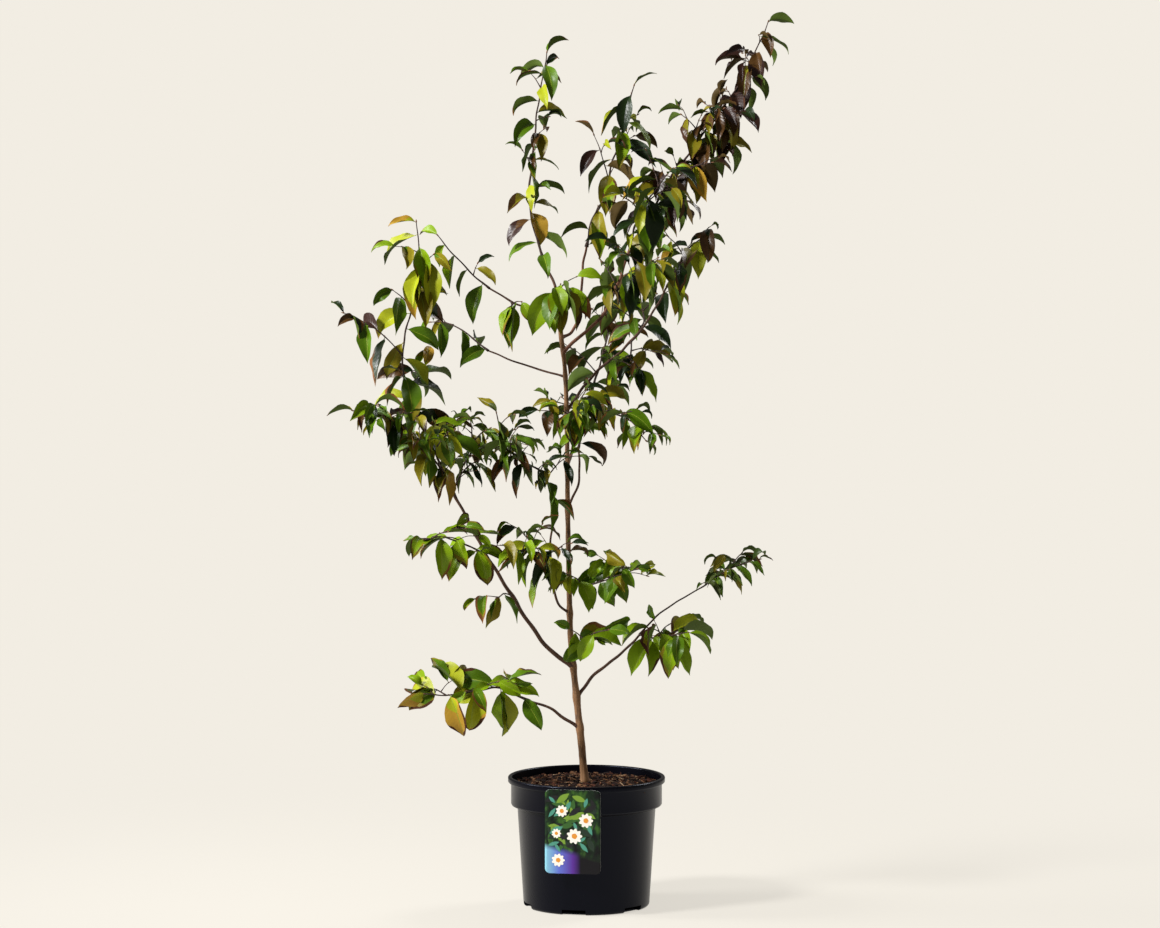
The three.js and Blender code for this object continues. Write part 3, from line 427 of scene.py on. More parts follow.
MASSES = [
    foliage(
        "low_left", "low_left_bough", 1, foot=1.9, seed=6111, leaf=70, gap=24, hang=0.35,
        tilt=60, bare=0.02, twigs=3, twig=46, tints="fresh", scorch=0.6, curl=0.1, fine=1.6, wide=0.48,
        route=[
            (-121, -42, 359), (-146, -52, 370), (-178, -68, 367), (-229, -90, 362), (-262, -108, 367),
        ],
    ),
    foliage(
        "low_right_inner", "low_right_bough", 1, foot=1.4, seed=6107, leaf=74, gap=24, hang=0.7,
        front=0.5, tilt=30, twigs=2, twig=45, tints="fresh", scorch=0.25, curl=0.1, fine=1.8, wide=0.48,
        route=[(113, 15, 444), (141, -38, 455), (165, -75, 464)],
    ),
    foliage(
        "low_right_outer", "low_right_bough", 1, foot=1.7, seed=3198, leaf=52, gap=17,
        hang=0.35, tilt=20, bare=0.62, tints="dusky", curl=0.4, fine=3, wide=0.36,
        route=[(109, 63, 467), (139, 75, 490), (192, 90, 520), (237, 96, 549), (272, 96, 562)],
        spurs=[(0.85, 20, 34, 22), (0.75, 18, -30, 14)],
    ),
    foliage(
        "low_trunk", "trunk", 0.3, foot=1.3, seed=2177, leaf=54, gap=18, hang=0.35, tilt=60,
        bare=0.2, twigs=1, twig=36, tints="fresh", scorch=0.15, curl=0.1, fine=1, wide=0.52,
        route=[(-6, -45, 446), (12, -75, 462), (35, -99, 471)],
    ),
    foliage(
        "left_low", "left_bough", 0.42, foot=1.2, seed=6140, leaf=64, gap=22, hang=0.6,
        front=0.4, tilt=45, bare=0.3, tints="fresh", scorch=0.5, curl=0.2, fine=1, wide=0.46,
        route=[(-134, -60, 526), (-147, -93, 522)],
    ),
    foliage(
        "left_side", "left_bough", 0.64, foot=1.4, seed=5136, leaf=62, gap=20, hang=0.5,
        front=0.3, tilt=40, bare=0.12, twigs=2, twig=48, tints="fresh", scorch=0.7, curl=0.2, fine=1.8,
        wide=0.46,
        route=[(-197, -82, 608), (-233, -112, 624), (-262, -135, 622)],
    ),
    foliage(
        "far_left", "left_bough", 0.92, foot=1.7, seed=5210, leaf=62, gap=20, hang=0.35,
        front=0.25, tilt=15, bare=0.15, twigs=4, twig=58, tints="turning", scorch=0.6, curl=0.4, fine=4,
        route=[(-249, -105, 753), (-286, -120, 796), (-331, -138, 822), (-375, -150, 832)],
    ),
    foliage(
        "left_shoot", "left_bough", 1, foot=2.0, seed=2206, leaf=78, gap=23, hang=0.75,
        front=0.4, tilt=35, fan=10, bare=0.06, twigs=4, twig=58, tints="turning_green", curl=0.2,
        fine=1,
        route=[
            (-256, -60, 777), (-292, -51, 855), (-300, -51, 924), (-284, -57, 998), (-272, -63, 1052),
            (-276, -66, 1133),
        ],
        spurs=[(0.5, -75, -30, 62), (0.12, 22, -44, 30)],
    ),
    foliage(
        "left_tangle", "left_bough", 0.94, foot=1.3, seed=2280, leaf=50, gap=16, hang=0.6,
        front=0.3, twigs=3, twig=45, tints="dusky", scorch=0.4, curl=0.7, fine=3, wide=0.36,
        route=[(-204, -45, 730), (-189, 0, 760), (-192, 36, 805)],
    ),
    foliage(
        "inner_left", "inner_left_bough", 1, foot=1.6, seed=6276, leaf=58, gap=17, hang=0.55,
        front=0.2, tilt=20, bare=0.05, twigs=3, twig=50, tints="dusky", curl=0.5, fine=4, wide=0.38,
        route=[(-68, -60, 719), (-102, -78, 745), (-135, -90, 772), (-146, -90, 824)],
    ),
    foliage(
        "inner_left_low", "inner_left_bough", 0.4, foot=1.3, seed=5272, leaf=64, gap=22,
        hang=0.6, front=0.3, tilt=25, twigs=2, twig=44, tints="mixed", scorch=0.4, curl=0.35, fine=5.5,
        route=[(-80, -75, 593), (-122, -112, 604)],
    ),
    foliage(
        "right_low", "trunk", 0.42, foot=1.5, seed=2046, leaf=52, gap=18, hang=0.4, front=0.2,
        tilt=50, twigs=4, twig=42, tints="fresh", curl=0.2, fine=2, wide=0.52,
        route=[(6, -36, 538), (47, -60, 554), (82, -78, 568)],
    ),
    foliage(
        "centre_right", "inner_right_bough", 1, foot=1.6, seed=5120, leaf=54, gap=18, hang=0.6,
        front=0.3, tilt=20, bare=0.05, twigs=5, twig=52, tints="mixed", scorch=0.5, curl=0.45, fine=2.4,
        route=[(-4, -36, 795), (28, -66, 823), (71, -84, 811), (95, -90, 781)],
    ),
    foliage(
        "centre_front", "trunk", 0.79, foot=1.4, seed=3244, leaf=56, gap=20, hang=0.55,
        front=0.4, tilt=30, bare=0.2, twigs=3, twig=48, tints="mixed", curl=0.35, fine=3.4,
        route=[(-22, -60, 811), (-11, -120, 847)],
    ),
    foliage(
        "right_mid_low", "right_mid_bough", 0.6, foot=1.4, seed=5001, leaf=62, gap=20, hang=0.7,
        front=0.5, tilt=25, bare=0.2, twigs=3, twig=44, tints="mixed", curl=0.25, fine=1.8,
        route=[(75, -3, 892), (88, -54, 897)],
    ),
    foliage(
        "mid_left", "mid_left_bough", 1, foot=1.3, seed=3314, leaf=62, gap=24, hang=0.6,
        front=0.5, tilt=25, bare=0, tints="fresh_green", scorch=0.1, curl=0.2, fine=0.8,
        route=[(-202, 36, 950), (-232, 45, 965), (-257, 54, 965)],
    ),
    foliage(
        "upper_left", "upper_left_bough", 1, foot=1.4, seed=513, leaf=62, gap=26, hang=0.8,
        front=0.6, tilt=15, tints="fresh_green", scorch=0.2, curl=0.2, fine=0.8,
        route=[(-183, -21, 1044), (-217, -24, 1079), (-243, -30, 1110)],
    ),
    foliage(
        "upper_left_inner", "upper_left_bough", 0.7, foot=1.1, seed=378, leaf=80, gap=16,
        hang=0.95, front=1, tilt=35, bare=0.3, twigs=1, twig=36, tints="fresh", scorch=0.7, curl=0.05,
        fine=0, wide=0.42,
        route=[(-122, -40, 998), (-125, -58, 996)],
    ),
    foliage(
        "left_leader", "left_leader", 1, foot=1.9, seed=563, leaf=62, gap=20, hang=0.5,
        front=0.3, bare=0, tints="leader", scorch=0.4, fine=2.4, gold=4, wide=0.39,
        route=[
            (-86, 3, 1122), (-94, 6, 1176), (-86, 9, 1261), (-80, 9, 1320), (-71, 9, 1372),
            (-65, 9, 1408),
        ],
    ),
    foliage(
        "leader_base", "left_leader", 0.3, foot=1.2, seed=448, leaf=72, gap=18, hang=0.7,
        front=0.6, tilt=25, twigs=2, twig=50, tints="fresh", curl=0.1, fine=0.8, wide=0.46,
        route=[(-50, -45, 1012), (-43, -90, 1033)],
    ),
    foliage(
        "middle_leader", "middle_leader", 1, foot=1.9, seed=333, leaf=70, gap=22, hang=0.6,
        front=0.4, bare=0, twigs=1, twig=46, tints="turning_green", scorch=0.2, fine=1.2,
        route=[
            (11, 39, 1138), (32, 45, 1174), (39, 51, 1217), (52, 54, 1256), (67, 57, 1309),
            (78, 60, 1354),
        ],
        spurs=[(0.42, -24, -10, 74)],
    ),
    foliage(
        "right_leader", "right_leader", 1, foot=2.2, seed=518, leaf=64, gap=20, hang=0.85,
        front=0.25, fan=20, bare=0.02, twigs=4, twig=52, tints="bronzed", scorch=0.15, fine=4,
        wide=0.42,
        route=[
            (107, 15, 1150), (149, 36, 1215), (208, 69, 1297), (255, 96, 1361), (285, 114, 1422),
            (302, 120, 1460),
        ],
        spurs=[(0.12, 58, 24, 30), (0.3, 62, -26, 24), (0.42, 58, 30, 20), (0.56, 50, -20, 16)],
    ),
    foliage(
        "right_leader_inner", "right_leader", 0.97, foot=1.6, seed=592, leaf=68, gap=19,
        hang=0.85, front=0.4, bare=0.05, twigs=4, twig=55, tints="deep", scorch=0.15, curl=0.1, fine=2,
        route=[(78, -39, 1123), (98, -81, 1167), (130, -120, 1212)],
    ),
    foliage(
        "right_leader_low", "right_leader", 0.6, foot=1.5, seed=3166, leaf=66, gap=19,
        hang=0.85, front=0.4, twigs=4, twig=52, tints="deep", scorch=0.15, curl=0.1, fine=2,
        route=[(52, -60, 1024), (85, -99, 1052), (112, -135, 1074)],
    ),
    foliage(
        "right_mid", "right_mid_bough", 1, foot=1.5, seed=362, leaf=66, gap=19, hang=0.7,
        front=0.4, bare=0, twigs=2, twig=46, tints="deep", scorch=0.2, fine=2.4,
        route=[(150, 90, 1054), (168, 99, 1084), (198, 105, 1107)],
    ),
    foliage(
        "right_mid_back", "right_mid_bough", 0.65, foot=1.5, seed=358, leaf=64, gap=25,
        hang=0.8, fan=30, twigs=4, twig=55, tints="deep", scorch=0.15, fine=1.5,
        route=[(96, 135, 967), (89, 180, 1015), (98, 210, 1073)],
    ),
    foliage(
        "crown_back", "back_bough", 1, foot=1.8, seed=321, leaf=62, gap=27, hang=0.7, twigs=5,
        twig=60, tints="mixed", scorch=0.2, fine=1.2,
        route=[(20, 150, 881), (38, 175, 947), (44, 205, 1012)],
    ),
    foliage(
        "crown_back_low", "back_bough", 0.8, foot=1.6, seed=506, leaf=60, gap=25, hang=0.7,
        twigs=3, twig=52, tints="mixed", curl=0.3, fine=1.2,
        route=[(-10, 150, 807), (-40, 190, 831)],
    ),
]


# Curves and repeatable random numbers
def numbers_from(seed):
    """Numbers from 0 to 1, in the order that the solids draw them."""
    state = seed & 0xFFFFFFFF

    def draw():
        nonlocal state
        state = (state + 0x6D2B79F5) & 0xFFFFFFFF
        mixed = ((state ^ (state >> 15)) * (state | 1)) & 0xFFFFFFFF
        mixed ^= (mixed + (mixed ^ (mixed >> 7)) * (mixed | 61)) & 0xFFFFFFFF
        return (mixed ^ (mixed >> 14)) / 4294967296

    return draw


def unit(vector):
    return vector / np.linalg.norm(vector)


def between(pair, share):
    return pair[0] + (pair[1] - pair[0]) * share


def taper(foot, tip):
    return lambda share: between((foot, tip), share)


def bearing_to(turn, height=0.0):
    """A direction on the level turned from the X axis, and then raised."""
    return np.array([math.cos(turn), math.sin(turn), height])


class Limb:
    """A smooth line through places, walked by shares of its length."""

    def __init__(self, places, radius_at, sway=0.0, seed=0):
        self.places = np.array(places, dtype=float)
        self.radius_at = radius_at
        self.sway = sway
        self.phase = random.Random(seed).uniform(0, 2 * math.pi)
        self.parameters = np.linspace(0, 1, LIMB_SPANS + 1)
        spans = np.linalg.norm(np.diff(self.through(self.parameters), axis=0), axis=1)
        self.reached = np.concatenate([[0], np.cumsum(spans)])
        self.length = self.reached[-1]

    def through(self, parameter):
        """Catmull-Rom places for an array of parameters."""
        last = len(self.places) - 1
        walked = np.clip(parameter, 0, 1) * last
        leg = np.minimum(walked.astype(int), last - 1)
        share = (walked - leg)[:, None]
        before_first = 2 * self.places[0] - self.places[1]
        after_last = 2 * self.places[-1] - self.places[-2]
        padded = np.vstack([before_first, self.places, after_last])
        before, start, end, after = (padded[leg + step] for step in range(4))
        leaving = (end - before) / 2
        arriving = (after - start) / 2
        square = -3 * start + 3 * end - 2 * leaving - arriving
        cube = 2 * start - 2 * end + leaving + arriving
        return start + share * (leaving + share * (square + share * cube))

    def smooth_points(self, shares):
        return self.through(np.interp(np.asarray(shares) * self.length, self.reached, self.parameters))

    def points(self, shares):
        """Places on the limb, with the slight bends that a real twig has."""
        walked = np.asarray(shares, dtype=float) * self.length
        places = self.smooth_points(shares)
        eased = self.sway * np.minimum(1, walked / SWAY_EASE)
        for wave, aside in SWAY_WAVES:
            bend = eased * np.sin(2 * math.pi * walked / wave + self.phase)
            places = places + bend[:, None] * np.array(aside)
        return places

    def point(self, share):
        return self.points([share])[0]

    def tangent(self, share):
        near = self.smooth_points([max(share - NEAR, 0), min(share + NEAR, 1)])
        return unit(near[1] - near[0])


def trunk_radius(share):
    rise = share * (TRUNK_ROUTE[-1][2] - TRUNK_FOOT)
    flare = max(0, 1 - rise / TRUNK_FLARE_HEIGHT) ** 2
    if share < TRUNK_MID:
        body = between((TRUNK_LOW_RADIUS, TRUNK_MID_RADIUS), share / TRUNK_MID)
    else:
        body = between((TRUNK_MID_RADIUS, TRUNK_TOP_RADIUS), (share - TRUNK_MID) / (1 - TRUNK_MID))
    return body + flare * (TRUNK_FLARE_RADIUS - TRUNK_LOW_RADIUS)


# Meshes
class Gathered:
    """Many small shapes gathered into one mesh, in millimetres."""

    def __init__(self):
        self.places = []
        self.faces = []
        self.marks = []
        self.charts = []
        self.count = 0

    def add(self, places, faces, marks=0, chart=None):
        places = np.asarray(places, dtype=float).reshape(-1, 3)
        self.places.append(places)
        self.faces.extend([index + self.count for index in face] for face in faces)
        self.marks.extend(marks if isinstance(marks, list) else [marks] * len(faces))
        self.charts.append(np.zeros((len(places), 2)) if chart is None else chart)
        self.count += len(places)

    def piece(self, name, materials, smooth=True):
        mesh = bpy.data.meshes.new(name)
        mesh.from_pydata((np.vstack(self.places) * MM).tolist(), [], self.faces)
        for each in materials:
            mesh.materials.append(each)
        mesh.polygons.foreach_set("material_index", self.marks)
        mesh.polygons.foreach_set("use_smooth", [smooth] * len(mesh.polygons))
        corners = np.zeros(len(mesh.loops), dtype=np.int32)
        mesh.loops.foreach_get("vertex_index", corners)
        layer = mesh.uv_layers.new(name="Chart")
        layer.data.foreach_set("uv", np.vstack(self.charts)[corners].ravel())
        mesh.update()
        return on_scene(name, mesh)


def on_scene(name, data):
    made = bpy.data.objects.new(name, data)
    bpy.context.scene.collection.objects.link(made)
    return made


def quads(grid):
    """The four-sided faces of a grid of place numbers."""
    corners = (grid[:-1, :-1], grid[:-1, 1:], grid[1:, 1:], grid[1:, :-1])
    return np.stack(corners, axis=-1).reshape(-1, 4).tolist()


def tube(points, reaches, sides):
    """Rings round a line of points. reaches holds a radius for each ring and side."""
    ahead = np.gradient(points, axis=0)
    ahead /= np.linalg.norm(ahead, axis=1)[:, None]
    normal = unit(np.cross(ahead[0], UP + np.array([0.3, 0.1, 0])))
    normals = []
    for direction in ahead:
        normal = unit(normal - direction * normal.dot(direction))
        normals.append(normal)
    normals = np.array(normals)
    others = np.cross(ahead, normals)
    turns = (2 * math.pi * np.arange(sides) / sides)[None, :, None]
    rings = np.cos(turns) * normals[:, None, :] + np.sin(turns) * others[:, None, :]
    places = points[:, None, :] + rings * reaches[:, :, None]
    numbers = np.arange(len(points) * sides).reshape(-1, sides)
    faces = quads(np.hstack([numbers, numbers[:, :1]]))
    faces.append(numbers[0, ::-1].tolist())
    faces.append(numbers[-1].tolist())
    return places.reshape(-1, 3), faces


def lathe(profile, sides):
    """A closed profile of (radius, height) turned about the height axis."""
    radii, heights = np.array(profile, dtype=float).T
    turns = (2 * math.pi * np.arange(sides) / sides)[:, None]
    rings = np.stack(np.broadcast_arrays(radii * np.cos(turns), radii * np.sin(turns), heights), axis=-1)
    numbers = np.arange(sides * len(profile)).reshape(sides, -1)
    return rings.reshape(-1, 3), quads(np.vstack([numbers, numbers[:1]]).T)


BOX_CORNERS = [(x, y, z) for z in (-1, 1) for x, y in ((-1, -1), (1, -1), (1, 1), (-1, 1))]
BOX_FACES = [(3, 2, 1, 0), (4, 5, 6, 7), (0, 1, 5, 4), (1, 2, 6, 5), (2, 3, 7, 6), (3, 0, 4, 7)]


# Trunk, boughs and twigs
def rough(limb, shares, sides, relief):
    """The radius of each ring and side, with ridges that run along the limb."""
    depth, grain = relief
    reaches = np.zeros((len(shares), sides))
    for row, share in enumerate(shares):
        radius = limb.radius_at(share)
        along = share * limb.length / grain
        for side in range(sides):
            turn = 2 * math.pi * side / sides
            x = radius * math.cos(turn) / grain
            y = radius * math.sin(turn) / grain
            ridge = noise.noise(Vector((x, y, along / STREAK)))
            flake = noise.noise(Vector((x, y, along + FLAKES_APART)))
            reaches[row, side] = radius * (1 + depth * (ridge + FLAKE * flake))
    return reaches


def add_limb(gathered, limb, sides, step, relief, children=(), sunk=0.0, mark=0):
    """A limb that grows a little where a child limb leaves, and at its own foot."""
    shares = np.linspace(0, 1, max(4, round(limb.length / step)) + 1)
    walked = shares * limb.length
    reaches = rough(limb, shares, sides, relief)
    for child in children:
        away = (shares - child) * limb.length / JOINT_REACH
        reaches *= (1 + JOINT_SWELL * np.exp(-away * away))[:, None]
    if not sunk:
        reaches *= (1 + COLLAR_SWELL * np.exp(-((walked / COLLAR_REACH) ** 2)))[:, None]
    points = limb.points(shares)
    points[0, 2] -= sunk
    gathered.add(*tube(points, reaches, sides), marks=mark)


def child_limb(parent, entry, radius_at, sway):
    """A limb that grows from the parent's axis, or on from its tip."""
    start = parent.point(entry["at"])
    return Limb([start, *entry["route"]], radius_at, sway=sway, seed=len(entry["name"]))


def grow_limbs():
    trunk = Limb(TRUNK_ROUTE, trunk_radius)
    limbs = {"trunk": trunk}
    for entry in BOUGHS:
        limbs[entry["name"]] = child_limb(trunk, entry, taper(entry["foot"], entry["tip"]), BOUGH_SWAY)
    return limbs


def twig_reaches(mass, stem):
    """Twigs leave the stem all round it and grow shorter towards its tip."""
    draw = numbers_from(mass["seed"])
    reaches = [(spur[0], np.array(spur[1:], dtype=float)) for spur in mass["spurs"]]
    start = 360 * draw()
    for index in range(mass["twigs"]):
        at = TWIG_FIRST + TWIG_SPREAD * (index + draw()) / mass["twigs"]
        bearing = math.radians(start + index * TWIG_TURN + TWIG_STRAY * draw())
        length = mass["twig"] * (TWIG_LONGEST - TWIG_SHORTENING * at) * between(TWIG_SIZES, draw())
        reach = unit(bearing_to(bearing, TWIG_RISE) + stem.tangent(at) * TWIG_AHEAD)
        reaches.append((at, reach * length))
    return reaches


def twig_limb(stem, at, reach, seed, radii):
    foot = stem.point(at)
    middle = foot + reach / 2 + UP * TWIG_ARCH * np.linalg.norm(reach)
    return Limb([foot, middle, foot + reach], taper(*radii), SWAY / 2, seed)


def axes_of(mass, limbs):
    """The stem and twigs of a mass, each with its leafless share and seed."""
    stem = child_limb(limbs[mass["on"]], mass, taper(mass["foot"], STEM_TIP_RADIUS), SWAY)
    axes = [(stem, mass["bare"], mass["seed"] + LEAF_SEED)]
    for index, (at, reach) in enumerate(twig_reaches(mass, stem)):
        seed = mass["seed"] + LEAF_SEED * (index + 2)
        axes.append((twig_limb(stem, at, reach, seed, TWIG_RADII), TWIG_BARE, seed))
    return axes


def fine_twigs(mass, axes):
    """Finer twigs with a few small leaves, within the reach of the twigs they leave."""
    chance = random.Random(mass["seed"] + 2)
    finer = []
    for limb, bare, _ in axes:
        first = max(bare, TWIG_FIRST)
        count = round(mass["fine"] * limb.length / 100)
        for index in range(count):
            at = first + (FINE_LAST - first) * (index + chance.random()) / count
            out = unit(bearing_to(chance.uniform(0, 2 * math.pi), chance.uniform(*FINE_RISE)))
            reach = unit(out + FINE_AHEAD * limb.tangent(at)) * chance.uniform(*FINE_LENGTHS)
            finer.append(twig_limb(limb, at, reach, chance.randrange(9999), FINE_RADII))
    return finer


# Leaves
def leaves_along(limb, bare, seed, mass):
    """Leaves stand in two rows along an axis, and one ends it."""
    draw = numbers_from(seed)
    count = max(1, math.floor(limb.length * (1 - bare) / mass["gap"] + 0.5))
    fan = math.radians(mass["fan"])
    leaves = []
    for index in range(count + 1):
        last = index == count
        share = 1 if last else bare + (1 - bare) * (index + 0.5 * draw()) / count
        swing = (2 * draw() - 1) * LEAF_SWING
        sag = (2 * draw() - 1) * LEAF_SAG
        roll = (2 * draw() - 1) * LEAF_ROLL
        size = between(LEAF_SIZES, draw())
        axis = limb.tangent(min(share, NEAR_TIP))
        level = math.hypot(axis[0], axis[1])
        flat = level > LEVEL_AXIS
        row = (-axis[1] / level, axis[0] / level) if flat else (math.cos(fan), math.sin(fan))
        hand = 0 if last else (1 if index % 2 == 0 else -1)
        lean = (1 if last else LEAF_LEAN) if level > UPRIGHT_AXIS else 0
        heading = math.atan2(hand * row[1] + lean * axis[1], hand * row[0] + lean * axis[0])
        forward = mass["front"] > 0 and draw() < mass["front"] and not last
        lift = (LAST_LEAF_LIFT * axis[2] if last else 0) - (FRONT_DROP if forward else 0)
        rise = LEAF_LEVEL_RISE - LEAF_HANG_DROP * mass["hang"] + lift + sag
        leaves.append(dict(
            share=share,
            foot=limb.point(share),
            heading=math.radians(swing) + (FRONT_BEARING if forward else heading),
            rise=rise,
            fall=max(rise - LEAF_BEND + LEAF_HANG_STIFFNESS * mass["hang"], LEAF_STEEPEST),
            roll=roll,
            tilt=0 if forward else mass["tilt"],
            wide=mass["wide"],
            length=mass["leaf"] * size * (LAST_LEAF_SIZE if last else 1),
        ))
    return leaves


def facing(directions, degrees):
    """Directions turned about the side axis, so that what looks up looks forward."""
    turn = math.radians(degrees)
    side, depth, height = directions.T
    return np.stack([
        side,
        depth * math.cos(turn) - height * math.sin(turn),
        depth * math.sin(turn) + height * math.cos(turn),
    ], axis=1)


def blade_outline(rows):
    """Half the width of a leaf at each row, as a share of its widest."""
    along = np.clip((rows - LEAF_STALK) / (1 - LEAF_STALK), 0, 1)
    widest = BASE_POWER / (BASE_POWER + TIP_POWER)
    peak = widest**BASE_POWER * (1 - widest) ** TIP_POWER
    return along**BASE_POWER * (1 - along) ** TIP_POWER / peak


def leaf_grid():
    """The triangles of both sides of a leaf, and how many steps each lies from its middle and foot."""
    rows = LEAF_ROWS + 1
    columns = len(LEAF_COLUMNS)
    middle = (columns - 1) / 2
    upper = np.arange(rows * columns).reshape(rows, columns)
    lower = upper.copy()
    lower[1:-1, 1:-1] = rows * columns + np.arange((rows - 2) * (columns - 2)).reshape(rows - 2, -1)
    faces = []
    steps = []
    for row in range(rows - 1):
        for column in range(columns - 1):
            quad = [(row, column), (row, column + 1), (row + 1, column + 1), (row + 1, column)]
            left = 2 * column < columns - 2
            for corners in ((0, 1, 2), (0, 2, 3)) if left else ((0, 1, 3), (1, 2, 3)):
                spots = [quad[corner] for corner in corners]
                faces.append([int(upper[spot]) for spot in spots])
                faces.append([int(lower[spot]) for spot in reversed(spots)])
                across = sum(spot[1] - middle for spot in spots) / 3
                outward = sum(abs(spot[1] - middle) for spot in spots) / 3 - 0.5
                steps.append((across, outward, sum(spot[0] for spot in spots) / 3))
    return faces, np.array(steps)


def leaf_chart():
    """Where each place of a leaf lies across its width and along its length."""
    upper = np.stack(np.meshgrid(LEAF_COLUMNS, ROW_SHARES), axis=-1)
    return np.vstack([upper.reshape(-1, 2), upper[1:-1, 1:-1].reshape(-1, 2)])


EVEN_ROWS = np.linspace(0, 1, LEAF_ROWS + 1)
ROW_SHARES = between((EVEN_ROWS, 0.5 - 0.5 * np.cos(math.pi * EVEN_ROWS)), ROW_CROWDING)
OUTLINE = blade_outline(ROW_SHARES)
LEAF_FACES, LEAF_STEPS = leaf_grid()
CHART = leaf_chart()


def leaf_places(leaf, chance, curl):
    """The upper places of a leaf, row by row, and then the inner places of its lower side."""
    rows = ROW_SHARES
    columns = np.array(LEAF_COLUMNS)
    hook = np.clip((rows - HOOK_FROM) / (1 - HOOK_FROM), 0, 1) ** HOOK_POWER
    start = leaf["rise"] + LEAF_ARCH
    fall = leaf["fall"] - start - curl * chance.uniform(*DRY_FALLS)
    climb = np.radians(start + fall * rows**FALL_POWER)
    climb += DRY_WAVE * curl * np.sin(chance.uniform(*DRY_WAVES) * rows + chance.uniform(*PHASES))
    climb -= math.radians(chance.uniform(*HOOK_DROPS)) * hook
    heading = leaf["heading"] + chance.uniform(*DRY_TURNS) * curl * rows
    heading = heading + chance.uniform(*HOOK_TURNS) * hook
    level = np.cos(climb)
    ahead = np.stack([np.cos(heading) * level, np.sin(heading) * level, np.sin(climb)], axis=1)
    beside = np.stack([-np.sin(heading), np.cos(heading), 0 * heading], axis=1)
    ahead = facing(ahead, leaf["tilt"])
    beside = facing(beside, leaf["tilt"])
    steps = np.diff(rows)[:, None] * (ahead[1:] + ahead[:-1]) / 2
    spine = leaf["foot"] + leaf["length"] * np.vstack([np.zeros(3), np.cumsum(steps, axis=0)])
    roll = leaf["roll"] * np.minimum(1, ROLL_AT_FOOT + ROLL_GROWTH * rows)
    roll = roll + chance.uniform(*TIP_ROLLS) * rows
    roll = np.radians(roll)[:, None]
    across = beside * np.cos(roll) + np.cross(ahead, beside) * np.sin(roll)
    face = np.cross(ahead, across)
    tooth = 1 + LEAF_TOOTH * (-1) ** np.arange(len(rows))
    width = leaf["wide"] * (1 - DRY_NARROWING * curl) * chance.uniform(*WIDTHS)
    half = np.maximum(leaf["length"] * width / 2 * OUTLINE * tooth, STALK_HALF)
    half[-1] = TIP_HALF
    bend = chance.uniform(*BENDS) + DRY_BEND * curl
    bend = bend if abs(bend) > LEAST_BEND else LEAST_BEND
    fold = chance.uniform(*FOLDS)
    out = np.sin(bend * np.abs(columns)) / bend * np.sign(columns)
    up = (1 - np.cos(bend * columns)) / bend + fold * np.abs(out)
    waves = chance.uniform(*EDGE_WAVES) * 2 * math.pi * rows + chance.uniform(*PHASES)
    wave = np.sin(waves)[:, None] * columns**2 * np.sign(columns)
    lift = half[:, None] * (up + wave * (EDGE_LIFT + DRY_EDGE_LIFT * curl))
    upper = spine[:, None, :] + across[:, None, :] * (half[:, None] * out)[..., None]
    upper = upper + face[:, None, :] * lift[..., None]
    thick = LEAF_THICK * (1 - columns[1:-1] ** 2) + LEAF_RIM
    lower = upper[1:-1, 1:-1] - face[1:-1, None, :] * thick[None, :, None]
    return np.vstack([upper.reshape(-1, 3), lower.reshape(-1, 3)])


def leaf_marks(tint, scorch, turns, chance, indexes):
    """The material of each face: the blade, its rib, its underside and a dry tip or margin."""
    def back_from_tip(reach, wanted):
        return round(LEAF_ROWS * (1 - chance.uniform(*reach))) if wanted else 2 * LEAF_ROWS

    under = indexes["bronze_under" if tint in DARK_TINTS else "green_under"]
    rib = indexes[tint if tint in PLAIN_TINTS else "rib"]
    dry = indexes["dry" if chance.random() < DRY_SHARE else "scorch"]
    turning = indexes[TURNING_TINTS[tint]]
    tip = back_from_tip(SCORCH_REACH, scorch)
    blush = chance.randint(0, BLUSH_STEPS)
    turned_from = back_from_tip(TURNED_TIP, turns)
    across, outward, along = LEAF_STEPS.T
    on_rib = outward < RIB_STEPS
    margins = np.where(across > 0, chance.randint(0, MARGIN_STEPS), chance.randint(0, MARGIN_STEPS))
    tipward = along + outward
    edge = np.where(outward > 2, chance.randint(0, EDGE_STEPS), 0)
    age = tipward + edge - tip - np.where(on_rib, 0, margins)
    blade = np.where((age > -blush) | (tipward > turned_from), turning, indexes[tint])
    upper = np.where(age > 0, dry, np.where(on_rib, rib, blade))
    lower = np.where(age > 0, dry, under)
    return np.stack([upper, lower], axis=1).ravel().tolist()


def drawn_tint(name, chance):
    tints = SPRAYS[name]
    return chance.choices(list(tints), list(tints.values()))[0]


def strayed(leaf, chance):
    """The same leaf a little out of the even order of its row."""
    leaf["heading"] += math.radians(chance.uniform(-LEAF_STRAY, LEAF_STRAY))
    leaf["rise"] += chance.uniform(-LEAF_STRAY, LEAF_STRAY) / 2
    leaf["length"] *= chance.uniform(*STRAY_SIZES)
    return leaf


def add_spray(leaves, twigs, limb, along, seed, mass, chance, indexes, dryness=0.0):
    """One twig and its leaves, mostly of one tint."""
    spray = drawn_tint(mass["tints"], chance)
    for leaf in along:
        tint = drawn_tint(mass["tints"], chance) if chance.random() < ODD_LEAF else spray
        tint = leaf.get("tint", tint)
        curl = min(1, mass["curl"] * chance.uniform(*CURLS) + dryness * chance.random())
        scorch = chance.random() < mass["scorch"]
        places = leaf_places(strayed(leaf, chance), chance, curl)
        turns = chance.random() < TURNED_LEAVES[mass["tints"]]
        leaves.add(places, LEAF_FACES, leaf_marks(tint, scorch, turns, chance, indexes), CHART)
    add_twig(twigs, limb, [leaf["share"] for leaf in along], seed)


